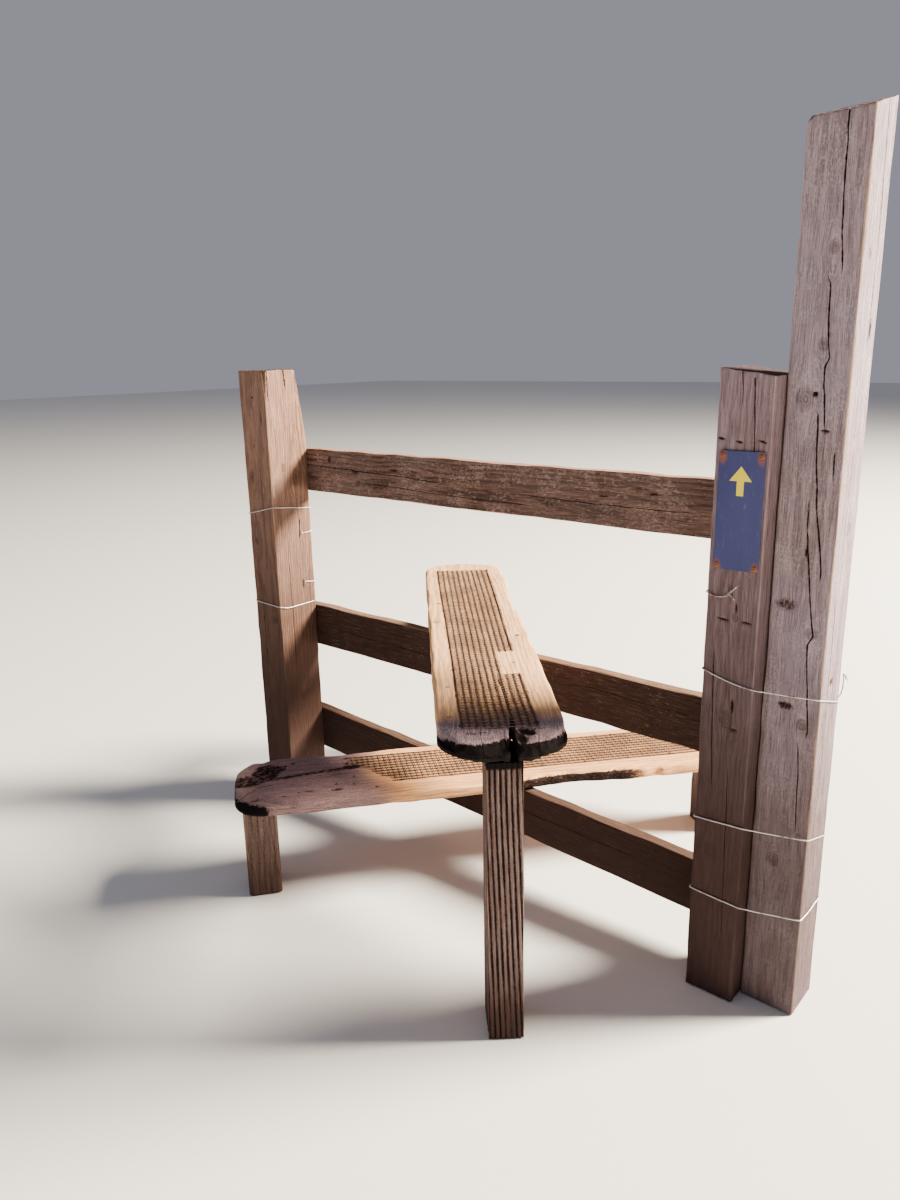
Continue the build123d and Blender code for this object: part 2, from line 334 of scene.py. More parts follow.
    def grain(self, place):
        """The place in the log, with the grain parted round each knot."""
        flow = place.copy()
        for knot in self.knots:
            inward, across = self.on_face(knot["face"], place)
            reach = knot["radius"] * 2.3
            along = (place[..., 0] - knot["along"]) / (reach * 2.2)
            aside = across - knot["across"]
            near = np.exp(-(along**2) - (aside / reach) ** 2 - (inward / 25.0) ** 2)
            flow[..., 1 if knot["face"] in ("front", "back") else 2] -= 0.8 * aside * near
        flow[..., 1] -= self.pith[0]
        flow[..., 2] -= self.pith[1]
        return flow

    def near_nicks(self, place):
        """Each nick with how near it is: 1 in its middle, 0 outside."""
        for nick in self.nicks:
            inward, across = self.on_face(nick["face"], place)
            along = (place[..., 0] - nick["along"]) / nick["length"]
            aside = (across - nick["across"]) / nick["width"]
            yield nick, np.exp(-((along**2 + aside**2) ** 1.5)) * (inward < NICK_REACH)

    def hollows(self, place):
        """The broad, shallow hollows of worn wood."""
        return self.hollow * wood_noise(place, 130.0, 60.0, self.seed + 5)

    def cut(self, place):
        """How far the weathered surface lies inside the sawn one."""
        ridge = wood_noise(self.grain(place), 190.0, self.ridge_across, self.seed, 3)
        cut = self.ridges * (1 - abs(2 * ridge - 1)) ** 1.5
        cut += self.hollows(place)
        cut += 0.8 * np.exp(-(((self.knot_distance(place) - 1.1) / 0.3) ** 2))
        for nick, near in self.near_nicks(place):
            cut += nick["depth"] * near
        return np.maximum(cut + self.groove(*axes_of(place)), 0)

    def build(self, name, axes, origin, material):
        """The mesh: rings of points along the timber, closed by a grid at each end."""
        length, width, depth = self.size
        xs = spread(length, self.rows, self.end_arris * 2)
        sides = [self.face_columns(face, xs) for face in FACES]
        n, m = (len(side[0][0]) - 1 for side in sides[:2])
        # The runs, depths and darkness of all four faces, joined round the timber
        runs, check_depth, check_painted_shade = (
            np.concatenate([front[:, :n], right[:, :m], back[:, :0:-1], left[:, :0:-1]], 1)
            for front, right, back, left in zip(*sides)
        )
        around = 2 * (n + m)
        box = np.zeros((len(xs), around, 3))
        box[..., 0] = xs[:, None]
        # On each face one of across and through runs with the columns, the other stays
        ends = np.cumsum([0, n, m, n, m])
        for start, end, axis, still in zip(ends, ends[1:], (1, 2, 1, 2), (0.0, width, depth, 0.0)):
            box[:, start:end, axis] = runs[:, start:end]
            box[:, start:end, 3 - axis] = still
        round_place, facing = self.rounded(box)
        even = self.shaped(round_place)
        ring_place = even - facing * (self.cut(even) + check_depth)[..., None]
        if self.sloping_end:
            ring_place[..., 0] -= self.slope_change(even, ring_place) * xs[:, None] / length
        total = len(xs) * around
        index = np.arange(total).reshape(len(xs), around)
        following = np.roll(index, -1, 1)
        quads = np.stack([index[:-1], following[:-1], following[1:], index[1:]], -1).reshape(-1, 4)
        points, faces = [ring_place.reshape(-1, 3)], [quads[:, ::-1]]
        marks = [self.mark(even, facing, check_painted_shade).reshape(-1, 4)]
        grains = [self.grain(even).reshape(-1, 3)]
        for row, sign in ((0, 1), (len(xs) - 1, -1)):
            grid_box, border = self.end_grid(box[row], n, m)
            grid_round, grid_facing = self.rounded(grid_box)
            grid_even = self.shaped(grid_round)
            rough = self.end_rough * wood_noise(grid_even, 6.0, 7.0, self.seed + 8)
            moved = grid_even.copy()
            moved[..., 0] += sign * rough * (1 - abs(grid_facing[..., 1:]).max(-1))
            shift = np.zeros_like(moved)
            shift[border] = ring_place[row] - moved[border]
            moved = moved + self.filled(shift, n, m)
            if self.sloping_end and row:
                moved[1:-1, 1:-1, 0] -= self.slope_change(grid_even, moved)[1:-1, 1:-1]
            inside = np.zeros((n + 1, m + 1), bool)
            inside[1:-1, 1:-1] = True
            number = np.full(inside.shape, -1)
            number[border] = index[row]
            number[inside] = total + np.arange(inside.sum())
            total += inside.sum()
            points.append(moved[inside])
            marks.append(self.mark(grid_even, grid_facing, np.zeros(inside.shape))[inside])
            grains.append(self.grain(grid_even)[inside])
            cells = np.stack([number[:-1, :-1], number[1:, :-1], number[1:, 1:], number[:-1, 1:]], -1).reshape(-1, 4)
            faces.append(cells if row else cells[:, ::-1])
        world = np.concatenate(points) @ np.array(axes, float) + np.array(origin, float)
        piece = mesh_object(name, world, np.concatenate(faces).tolist(), material)
        columns = (("marks", "FLOAT_COLOR", "color", marks), ("grain", "FLOAT_VECTOR", "vector", grains))
        for label, kind, key, values in columns:
            attribute = piece.data.attributes.new(label, kind, "POINT")
            attribute.data.foreach_set(key, np.concatenate(values).astype(np.float32).ravel())
        return piece

    def slope_change(self, before, after):
        """How much shorter the timber is where its points have moved to."""
        return self.far_inset(after[..., 1], after[..., 2]) - self.far_inset(before[..., 1], before[..., 2])

    def end_grid(self, ring_box, n, m):
        """The grid of an end face, and where its border meets the last ring."""
        i = np.concatenate([np.arange(n), np.full(m, n), np.arange(n, 0, -1), np.zeros(m, int)])
        j = np.concatenate([np.zeros(n, int), np.arange(m), np.full(n, m), np.arange(m, 0, -1)])
        grid = np.zeros((n + 1, m + 1, 3))
        grid[i, j] = ring_box
        share = np.linspace(0, 1, m + 1)[None]
        for _ in range(2):
            across = grid[:, :1, 1] * (1 - share) + grid[:, -1:, 1] * share
            aside = across / self.size[1]
            through = grid[:1, :, 2] * (1 - aside) + grid[-1:, :, 2] * aside
            grid[1:-1, 1:-1, 1:] = np.stack([across, through], -1)[1:-1, 1:-1]
            share = grid[..., 2] / self.size[2]
        grid[..., 0] = ring_box[0, 0]
        return grid, (i, j)

    def filled(self, shift, n, m):
        """Spreads a shift of the border over the whole end face."""
        u, v = np.linspace(0, 1, n + 1)[:, None, None], np.linspace(0, 1, m + 1)[None, :, None]
        sides = (1 - u) * shift[:1] + u * shift[-1:] + (1 - v) * shift[:, :1] + v * shift[:, -1:]
        corners = (
            (1 - u) * (1 - v) * shift[:1, :1] + u * (1 - v) * shift[-1:, :1]
            + (1 - u) * v * shift[:1, -1:] + u * v * shift[-1:, -1:]
        )
        return sides - corners

    def mark(self, place, facing, check_painted_shade):
        """Colour marks: darkness (painted shade in cracks and nicks, and stains with painted shade), worn edges, end
        grain and knots.
        """
        worn = smooth(1 - abs(facing).max(-1), 0.02, 0.25) * (0.5 + noise(place / 21.0, self.seed + 11))
        end = smooth(abs(facing[..., 0]), 0.45, 0.9)
        dark = check_painted_shade
        for nick, near in self.near_nicks(place):
            dark = np.maximum(dark, nick.get("shade", 0.8) * near)
        dark = np.clip(dark + self.stain(*axes_of(place)), 0, 1)
        knot = np.clip(self.knot_distance(place) / KNOT_REACH, 0, 1)
        return np.stack([dark, np.clip(worn, 0, 1), end, knot], -1)


# The frames that timbers stand or lie in: rows are along, across and through
UPRIGHT = ((0, 0, 1), (1, 0, 0), (0, 1, 0))
LYING = ((1, 0, 0), (0, 0, -1), (0, 1, 0))


def falling(fall):
    """The turn that lets X fall by this many degrees."""
    sine, cosine = math.sin(math.radians(fall)), math.cos(math.radians(fall))
    return np.array([[cosine, 0, sine], [0, 1, 0], [-sine, 0, cosine]])


def tread_directions(tread):
    """Level directions along a tread and to its left."""
    turn = math.radians(tread["angle"])
    return np.array([math.cos(turn), math.sin(turn), 0]), np.array([-math.sin(turn), math.cos(turn), 0])


def tread_axes(tread):
    """Along, to the left and up, and the corner where the near end starts."""
    along, left = tread_directions(tread)
    tilt = falling(tread["fall"])
    pivot = np.array([OPENING_X, RAIL_Y + RAIL_THICKNESS / 2, tread["under"]])
    start = np.array([tread["crossing"], 0, 0]) - along * tread["near"] - left * TREAD_WIDTH / 2
    axes = np.array([tilt @ along, tilt @ left, tilt @ np.array([0, 0, 1.0])])
    return axes, pivot + tilt @ start


# Node graphs

FLOAT, COLOUR, VECTOR, GEOMETRY = "NodeSocketFloat", "NodeSocketColor", "NodeSocketVector", "NodeSocketGeometry"
OBJECT, MATERIAL = "NodeSocketObject", "NodeSocketMaterial"
INPUT_KINDS = {float: FLOAT, int: "NodeSocketInt", tuple: COLOUR}
OUTPUT_KINDS = {"Color": COLOUR, "Geometry": GEOMETRY}


class Value:
    """What a node gives, with the usual signs for its arithmetic."""

    def __init__(self, graph, socket):
        self.graph, self.socket = graph, socket


for sign, operation in (("add", "ADD"), ("sub", "SUBTRACT"), ("mul", "MULTIPLY"), ("truediv", "DIVIDE")):
    setattr(Value, f"__{sign}__", lambda a, b, do=operation: a.graph.math(do, a, b))
    setattr(Value, f"__r{sign}__", lambda a, b, do=operation: a.graph.math(do, b, a))


class Node:
    """A node that takes values or plain numbers, and gives values by name or number."""

    def __init__(self, graph, kind, inputs, settings):
        self.graph = graph
        self.node = graph.tree.nodes.new(kind)
        for key, value in settings.items():
            setattr(self.node, key, value)
        for key, value in inputs.items():
            socket = self.node.inputs[key]
            if isinstance(value, Value):
                graph.tree.links.new(value.socket, socket)
            else:
                socket.default_value = value

    def __getitem__(self, key):
        return Value(self.graph, self.node.outputs[key])


class Graph:
    """Short calls that add and join the nodes of a tree."""

    def __init__(self, tree):
        self.tree = tree
        tree.nodes.clear()

    def add(self, kind, inputs=None, **settings):
        return Node(self, kind, inputs or {}, settings)

    def end(self, values):
        """Joins the values to the tree's named outputs, and gives the tree."""
        self.add("NodeGroupOutput", values)
        return self.tree

    def group(self, tree, inputs):
        return self.add("ShaderNodeGroup", inputs, node_tree=tree)

    def math(self, operation, a, b=0.0, c=0.0):
        return self.add("ShaderNodeMath", {0: a, 1: b, 2: c}, operation=operation)[0]

    def span(self, value, low, high, start=0.0, end=1.0):
        """A smooth step from start at low to end at high."""
        inputs = {"Value": value, "From Min": low, "From Max": high, "To Min": start, "To Max": end}
        return self.add("ShaderNodeMapRange", inputs, interpolation_type="SMOOTHSTEP")[0]

    def mix(self, share, a, b):
        return self.add("ShaderNodeMix", {0: share, 6: a, 7: b}, data_type="RGBA")[2]

    def scaled(self, vector, x, y, z):
        return self.add("ShaderNodeMapping", {"Vector": vector, "Scale": (x, y, z)})[0]

    def noise(self, vector, scale, detail=2.0, roughness=0.5, distortion=0.0):
        inputs = {"Vector": vector, "Scale": scale, "Detail": detail, "Roughness": roughness, "Distortion": distortion}
        return self.add("ShaderNodeTexNoise", inputs)["Fac"]

    def stretched(self, vector, along, across, detail=2.0, roughness=0.5, distortion=0.0):
        """Noise that is stretched along X."""
        return self.noise(self.scaled(vector, along, across, across), 1.0, detail, roughness, distortion)

    def parts(self, vector):
        """The X, Y and Z of a vector."""
        node = self.add("ShaderNodeSeparateXYZ", {0: vector})
        return node[0], node[1], node[2]

    def place(self):
        return self.add("ShaderNodeTexCoord")["Object"]

    def attribute(self, name):
        return self.add("ShaderNodeAttribute", attribute_name=name, attribute_type="GEOMETRY")

    def upward(self, low, high):
        """1 where the surface faces up, 0 on the sides."""
        return self.span(self.parts(self.add("ShaderNodeNewGeometry")["Normal"])[2], low, high)


def open_tree(name, inputs, outputs, kind="ShaderNodeTree"):
    """The graph of a new node tree, and the values of its named inputs in order.

    An input is given by its default value, or by its kind where it has none.
    """
    tree = bpy.data.node_groups.new(name, kind)
    for label, default in inputs.items():
        plain = isinstance(default, str)
        socket_type = default if plain else INPUT_KINDS[type(default)]
        socket = tree.interface.new_socket(label, in_out="INPUT", socket_type=socket_type)
        if not plain:
            socket.default_value = default
    for label in outputs:
        tree.interface.new_socket(label, in_out="OUTPUT", socket_type=OUTPUT_KINDS.get(label, FLOAT))
    graph = Graph(tree)
    start = graph.add("NodeGroupInput")
    return graph, [start[label] for label in inputs]


def group_once(name, maker, *needs):
    return bpy.data.node_groups.get(name) or maker(*needs)


# Shader groups


def make_ring_group():
    """Growth rings and fibres of a log, whose pith runs along X, in millimetres."""
    inputs = {"Vector": VECTOR, "Ring Spacing": 5.0, "Wander": 6.0}
    g, (vector, spacing, wander) = open_tree("Wood Rings", inputs, ("Rings", "Fibres", "Streaks"))
    _, across, through = g.parts(vector)
    bend, fine = g.stretched(vector, 0.004, 0.012), g.stretched(vector, 0.02, 0.12)
    radius = g.math("SQRT", g.math("POWER", across, 2.0) + g.math("POWER", through, 2.0))
    phase = g.math("FRACT", (radius + bend * (wander * 3.0) + fine * wander) / spacing)
    return g.end({
        "Rings": g.span(phase, 0.25, 0.85) * g.span(phase, 1.0, 0.9),
        "Fibres": g.stretched(vector, 0.022, 1.1, 4.0, 0.65),
        "Streaks": g.stretched(vector, 0.006, 0.16, 3.0, 0.6),
    })


def make_fleck_group():
    """Small pale flecks of lichen and sun-bleached fibre, gathered in patches."""
    g, (vector, cover, size) = open_tree("Lichen Flecks", {"Vector": VECTOR, "Cover": 0.4, "Size": 4.0}, ("Mask",))
    small = g.noise(g.scaled(vector, 0.55, 1.0, 1.0), 1.0 / size, 4.0, 0.7)
    level = small + (g.noise(vector, 0.02, 3.0, 0.55) - 0.5) * 0.5
    return g.end({"Mask": g.span(level - (0.78 - cover * 0.4), -0.10, 0.14)})


def make_timber_group(rings, flecks):
    """The whole look of weathered timber: colour, roughness and height."""
    inputs = {
        "Light": (0.4, 0.3, 0.25, 1), "Dark": (0.15, 0.1, 0.08, 1), "Grey": (0.3, 0.27, 0.27, 1),
        "End": (0.1, 0.07, 0.06, 1), "Worn": (0.6, 0.48, 0.38, 1), "Fleck": (0.5, 0.45, 0.42, 1),
        "Ring Spacing": 5.0, "Ring Contrast": 0.6, "Grey Share": 0.5, "Fleck Cover": 0.3, "Fleck Size": 3.0,
        "Cross Marks": 0.2, "Damp And Shadow Height": 0.25, "Damp": 0.6, "Wear": 0.6, "Dull": (0.18, 0.13, 0.14, 1),
        "Painted Shadow Length": 100.0, "Painted Shadow Fade": 50.0, "Painted Shadow Share": 0.0, "Painted Top Light": 0.0,
    }
    g, values = open_tree("Weathered Timber", inputs, ("Color", "Roughness", "Height"))
    light, dark, grey_tone, end, worn_tone, fleck_tone, spacing, contrast, grey_share, cover = values[:10]
    size, cross_marks, damp_and_shadow_height, damp_and_shadow_share, wear, dulling_and_painted_shadow, painted_shadow_length, painted_shadow_fade, painted_shadow_share, painted_top_light = values[10:]
    grain, marks, place = g.attribute("grain")["Vector"], g.attribute("marks"), g.place()
    colours = g.add("ShaderNodeSeparateColor", {0: marks["Color"]})
    crack, worn, cut_end = colours[0], colours[1], colours[2]
    knot_away = marks["Alpha"] * KNOT_REACH
    log = g.group(rings, {"Vector": grain, "Ring Spacing": spacing})
    late, fibres, streaks = log["Rings"], log["Fibres"], log["Streaks"]
    fleck = g.group(flecks, {"Vector": grain, "Cover": cover, "Size": size})["Mask"]
    patches = g.noise(g.scaled(place, 7.0, 7.0, 3.0), 1.0, 3.0, 0.6)
    cross = g.stretched(grain, 0.14, 0.06, 3.0, 0.65, 0.6)
    coarse = g.stretched(grain, 0.14, 0.35, 2.0, 0.6)
    fine = g.stretched(grain, 0.5, 0.95, 3.0, 0.65)

    # Grain, grey patches, flecks, edges rubbed clean, and painted light on upward faces
    colour = g.mix(late * contrast, light, dark)
    colour = g.mix(g.span(streaks, 0.42, 0.68) * 0.55, colour, dark)
    colour = g.mix(g.span(patches, 0.25, 0.62) * grey_share, colour, grey_tone)
    colour = g.mix(g.span(fibres, 0.49, 0.68, 0.0, 0.75), colour, dark)
    colour = g.mix(g.span(fibres, 0.46, 0.3, 0.0, 0.42), colour, worn_tone)
    colour = g.mix(fleck * 0.6, colour, fleck_tone)
    colour = g.mix(g.span(cross, 0.55, 0.72) * cross_marks, colour, dark)
    painted_top_lit = g.upward(0.5, 0.9) * g.span(fibres, 0.6, 0.35, 0.45, 1.0) * painted_top_light
    colour = g.mix(g.math("MAXIMUM", worn * wear, painted_top_lit), colour, worn_tone)

    # Knots, cut ends, and the damp above the ground, which is also painted shadow low down
    knot_rings = g.math("SINE", g.math("MULTIPLY_ADD", knot_away, 15.0, fibres * 6.0))
    knot_rim = g.span(knot_away, 0.7, 1.05) * g.span(knot_away, 1.5, 1.1)
    knot_shade = g.span(knot_away, 1.3, 0.5) * g.math("MULTIPLY_ADD", knot_rings, 0.18, 0.45)
    knot_shade = knot_shade + knot_rim * g.span(streaks, 0.35, 0.6, 0.1, 0.4)
    colour = g.mix(g.math("MINIMUM", knot_shade, 0.85), colour, end)
    end_tone = g.mix(g.span(late, 0.2, 0.8) * 0.5, end, dark)
    colour = g.mix(cut_end * g.span(fibres, 0.2, 0.6, 1.0, 0.8), colour, end_tone)
    damp = (g.parts(place)[2] + patches * 0.12) / damp_and_shadow_height
    colour = g.mix(g.span(damp, 1.3, 0.35) * damp_and_shadow_share, colour, end)

    # Painted shadow over the near end, then the dark marks in cracks and hollows: dirt and stains, and painted shade
    # in cracks, nicks and at tread and leg ends
    from_end = g.parts(grain)[0] + patches * painted_shadow_fade
    shade = g.span(fibres, 0.36, 0.64, 1.35, 0.45) * g.span(fine, 0.3, 0.7, 1.55, 0.6)
    shade = shade * g.span(coarse, 0.3, 0.7, 1.2, 0.8)
    painted_shadow_tone = g.add("ShaderNodeVectorMath", {0: dulling_and_painted_shadow, "Scale": shade}, operation="SCALE")[0]
    colour = g.mix(g.span(from_end, painted_shadow_length + painted_shadow_fade, painted_shadow_length) * painted_shadow_share, colour, painted_shadow_tone)
    border = crack * (1.0 - crack)
    dirt_and_painted_shade = crack + (coarse + fine - 1.0) * (border * 3.4)
    colour = g.mix(g.span(dirt_and_painted_shade, 0.08, 0.5), colour, (0.052, 0.024, 0.019, 1.0))
    colour = g.mix(g.span(dirt_and_painted_shade, 0.45, 0.68), colour, (0.005, 0.003, 0.003, 1.0))

    height = late * 0.5 - g.span(fibres, 0.45, 0.75, 0.0, 0.55) + fleck * 0.2
    height = height - g.span(cross, 0.5, 0.75) * (cross_marks * 0.5) - knot_rim * 0.6
    return g.end({"Color": colour, "Roughness": g.span(fibres, 0.2, 0.8, 0.72, 0.95), "Height": height})


def make_soil_group():
    """Dirt along the wires of a square mesh with painted shadows of the wires, darkest along the strands, and dirt
    trodden in between them.
    """
    inputs = {
        "Vector": VECTOR, "Pitch": 12.7, "Phase X": 0.0, "Phase Y": 0.0, "Low X": 0.0, "High X": 100.0,
        "Low Y": 0.0, "High Y": 100.0, "Hole Low": 0.0, "Hole High": 0.0, "Hole Top": 0.0, "Slant": 0.0, "Fan": 0.0,
    }
    g, values = open_tree("Mesh Soil And Wire Shadows", inputs, ("Mask", "Trodden"))
    vector, pitch, phase_x, phase_y, low_x, high_x, low_y, high_y, hole_low, hole_high, hole_top, slant, fan = values
    x, y, _ = g.parts(vector)
    middle = (low_y + high_y) * 0.5
    side = middle + (y - middle) / g.math("MULTIPLY_ADD", fan, g.span(x, *FAN_REACH), 1.0)
    wobble = (g.noise(vector, 0.06) - 0.5) * 5.0
    patch = g.noise(vector, 0.012, 3.0, 0.6)

    def lines(value, phase, width):
        away = g.math("ABSOLUTE", g.math("FRACT", (value - phase + wobble) / pitch) - 0.5)
        return g.span(away, 0.5 - width, 0.5)

    # Lines along the strands are wider and darker than those across: painted shadows of the strands, with soil
    both = g.math("MAXIMUM", lines(side, phase_y, 0.42), lines(x, phase_x, 0.20) * 0.65)
    both = both * g.span(patch, 0.25, 0.6, 0.6, 1.0)
    inside = g.span(x, low_x - 6.0, low_x + 6.0) * g.span(x, high_x + 6.0, high_x - 6.0)
    inside = inside * g.span(side, low_y - 2.0, low_y + 1.0) * g.span(side, high_y + 2.0, high_y - 1.0)
    inside = inside * g.span(x - low_x + slant * (side - high_y), -8.0, 8.0)
    hole = g.span(x, hole_low, hole_low + 4.0) * g.span(x, hole_high + 4.0, hole_high)
    inside = inside * (1.0 - hole * g.span(side, hole_top + 3.0, hole_top))
    mask = g.math("MAXIMUM", both, g.span(patch, 0.45, 0.7, 0.0, 0.4)) * inside
    return g.end({"Mask": mask, "Trodden": g.span(patch, 0.2, 0.7, 0.3, 0.75) * inside})


def make_rust_group():
    """Rust and dull zinc on old steel, on the piece's own coordinates."""
    inputs = {"Clean": (0.5, 0.5, 0.5, 1), "Rust": (0.2, 0.08, 0.03, 1), "Rust Share": 0.5}
    g, (clean, rusty, share) = open_tree("Old Steel", inputs, ("Color", "Roughness", "Metallic", "Height"))
    broad, fine = g.noise(g.place(), 60.0, 4.0, 0.65), g.noise(g.place(), 900.0, 3.0, 0.6)
    edge = 1.0 - share
    rust = g.span(broad + (fine - 0.5) * 0.3, edge - 0.12, edge + 0.1)
    dulling_and_painted_shadow = g.mix(g.span(fine, 0.35, 0.7, 0.0, 0.45), clean, (0.2, 0.19, 0.19, 1))
    tint = g.mix(g.span(fine, 0.3, 0.7, 0.0, 0.6), rusty, (0.045, 0.018, 0.01, 1))
    return g.end({
        "Color": g.mix(rust, dulling_and_painted_shadow, tint), "Roughness": g.math("MULTIPLY_ADD", rust, 0.4, 0.45),
        "Metallic": 0.85 - rust * 0.8, "Height": fine * rust,
    })


# Materials


def new_material(name):
    material = bpy.data.materials.new(name)
    material.use_nodes = True
    return material, Graph(material.node_tree)


def shade(g, inputs, height=None, relief=0.0):
    """Ends a material: its shader's inputs, and the relief of its height in millimetres."""
    if height:
        bump = g.add("ShaderNodeBump", {"Height": height, "Distance": relief * MM, "Strength": 1.0})
        inputs = {**inputs, "Normal": bump[0]}
    shader = g.add("ShaderNodeBsdfPrincipled", inputs)
    g.add("ShaderNodeOutputMaterial", {0: shader[0]})


def timber_material(name, tones, values, relief=0.9, soil_and_wire_shadows=None):
    """Weathered timber with its own tones; the mesh settings lay dirt and painted wire shadows over it."""
    material, g = new_material(name)
    rings, flecks = group_once("Wood Rings", make_ring_group), group_once("Lichen Flecks", make_fleck_group)
    wood = g.group(group_once("Weathered Timber", make_timber_group, rings, flecks), {**tones, **values})
    colour, height = wood["Color"], wood["Height"]
    if soil_and_wire_shadows:
        soil_and_wire_shadows = {**soil_and_wire_shadows, "Vector": g.attribute("grain")["Vector"]}
        dirt_and_painted_shade, upward = g.group(group_once("Mesh Soil And Wire Shadows", make_soil_group), soil_and_wire_shadows), g.upward(0.6, 0.9)
        colour = g.mix(dirt_and_painted_shade["Trodden"] * upward, colour, (0.30, 0.165, 0.095, 1))
        # Dark lines along the mesh wires: soil with painted wire shadows
        mask = dirt_and_painted_shade["Mask"] * upward
        colour = g.mix(mask * 0.95, colour, (0.036, 0.019, 0.014, 1))
        height = height - mask * 1.2
    inputs = {"Base Color": colour, "Roughness": wood["Roughness"], "Specular IOR Level": 0.1}
    shade(g, inputs, height, relief)
    return material


def steel_material(name, clean, rust, share):
    material, g = new_material(name)
    inputs = {"Clean": (*clean, 1.0), "Rust": (*rust, 1.0), "Rust Share": share}
    steel = g.group(group_once("Old Steel", make_rust_group), inputs)
    inputs = {"Base Color": steel["Color"], "Roughness": steel["Roughness"], "Metallic": steel["Metallic"]}
    shade(g, inputs, steel["Height"], 0.15)
    return material


# Settings


def a_colour(name, description, default):
    return bpy.props.FloatVectorProperty(
        name=name, description=description, subtype="COLOR", size=3, min=0, max=1, default=default
    )


def a_length(name, description, default):
    """A length in metres, given here in millimetres."""
    return bpy.props.FloatProperty(name=name, description=description, unit="LENGTH", min=0.0, default=default * MM)


class StileTimberSettings(bpy.types.PropertyGroup):
    """Tones and wear of the timber."""

    post_light: a_colour("Post light", "Early wood of the posts", (0.30, 0.158, 0.098))
    post_dark: a_colour("Post dark", "Late wood and fibres of the posts", (0.075, 0.038, 0.028))
    right_light: a_colour("Right post light", "Early wood of the right post", (0.285, 0.19, 0.195))
    right_dark: a_colour("Right post dark", "Late wood of the right post", (0.06, 0.032, 0.034))
    hand_light: a_colour("Hand post light", "Early wood of the hand post", (0.34, 0.255, 0.28))
    hand_dark: a_colour("Hand post dark", "Late wood of the hand post", (0.075, 0.048, 0.052))
    hand_grey: a_colour("Hand post grey", "Sun-greyed wood of the hand post", (0.32, 0.26, 0.325))
    hand_fleck: a_colour("Hand post fleck", "Bleached flecks of the hand post", (0.46, 0.40, 0.42))
    grey: a_colour("Grey", "Sun-greyed wood", (0.235, 0.18, 0.18))
    rail_light: a_colour("Rail light", "Early wood of the rails", (0.125, 0.068, 0.05))
    rail_dark: a_colour("Rail dark", "Late wood of the rails", (0.024, 0.010, 0.007))
    tread_light: a_colour("Tread light", "Foot-worn wood of the treads", (0.88, 0.49, 0.24))
    tread_dark: a_colour("Tread dark", "Late wood of the treads", (0.25, 0.14, 0.095))
    tread_grey: a_colour("Tread grey", "Weathered patches of the treads", (0.40, 0.25, 0.16))
    tread_worn: a_colour("Tread worn", "Edges of the treads rubbed clean", (0.80, 0.48, 0.22))
    tread_fleck: a_colour("Tread fleck", "Bleached flecks of the treads", (0.68, 0.43, 0.23))
    leg_light: a_colour("Leg light", "Raised grain of the legs", (0.15, 0.092, 0.08))
    leg_dark: a_colour("Leg dark", "Soft grain of the legs", (0.035, 0.017, 0.014))
    low_leg_light: a_colour("Low leg light", "Raised grain of the lower tread's legs", (0.165, 0.092, 0.062))
    low_leg_dark: a_colour("Low leg dark", "Soft grain of the lower tread's legs", (0.055, 0.021, 0.013))
    worn: a_colour("Worn", "Edges and fibres rubbed clean", (0.60, 0.39, 0.24))
    end_grain: a_colour("End grain", "Damp end grain and hollows", (0.034, 0.017, 0.014))
    fleck: a_colour("Fleck", "Lichen and bleached flecks", (0.44, 0.37, 0.36))
    post_arris: a_length("Post arris", "Radius of the posts' worn corners", 5.0)
    rail_arris: a_length("Rail arris", "Radius of the rails' worn corners", 4.0)
    tread_arris: a_length("Tread arris", "Radius of the treads' worn edges", 8.0)


class StileMeshSettings(bpy.types.PropertyGroup):
    """Welded wire mesh on the treads."""

    pitch: a_length("Pitch", "Distance between the wires", 12.7)
    wire: a_length("Wire", "Diameter of the mesh wire", 1.3)
    strands: bpy.props.IntProperty(name="Strands", description="Wires along each tread", default=11, min=2)
    clean: a_colour("Zinc", "Colour where the zinc is left", (0.20, 0.16, 0.14))
    rust: a_colour("Rust", "Colour of the rust", (0.075, 0.034, 0.022))
    # The cross wires' lighter zinc and rust are painted light on them
    cross_clean: a_colour("Cross zinc", "Zinc of the cross wires, made lighter as painted light", (0.50, 0.40, 0.33))
    cross_rust: a_colour("Cross rust", "Rust of the cross wires", (0.23, 0.12, 0.07))
    seed: bpy.props.IntProperty(name="Seed", description="Seed of the wires' bends", default=4)


class StileWireSettings(bpy.types.PropertyGroup):
    """Fence wires bound round the posts."""

    diameter: a_length("Diameter", "Diameter of the fence wire", 2.5)
    clean: a_colour("Zinc", "Colour of the galvanised wire", (0.60, 0.58, 0.60))
    rust: a_colour("Rust", "Colour of the rust", (0.22, 0.11, 0.06))


class StileSignSettings(bpy.types.PropertyGroup):
    """Sign plate, its plain arrow and its screws."""

    plate: a_colour("Plate", "Slate blue paint", (0.036, 0.041, 0.135))
    arrow: a_colour("Arrow", "Yellow paint", (0.80, 0.66, 0.02))
    rust: a_colour("Screw rust", "Colour of the rusty screws", (0.33, 0.11, 0.05))
    head: a_length("Screw head", "Diameter of a screw head", 9.0)


class StileStageSettings(bpy.types.PropertyGroup):
    """Floor, light and camera."""

    floor: a_colour("Floor", "Colour of the floor", (0.70, 0.69, 0.675))
    lens: bpy.props.FloatProperty(name="Lens", description="Focal length on a 36 mm sensor", default=27.0)
    key: bpy.props.FloatProperty(name="Key light", description="Power of the key light", unit="POWER", default=9400.0)
    fill: bpy.props.FloatProperty(name="Fill light", description="Power of the fill light", unit="POWER", default=12.0)
    sky: bpy.props.FloatProperty(name="Surround", description="Strength of the surround", default=0.34)


LOOK = ("Ring Spacing", "Ring Contrast", "Grey Share", "Fleck Cover", "Fleck Size", "Cross Marks", "Damp And Shadow Height",
        "Damp", "Wear")


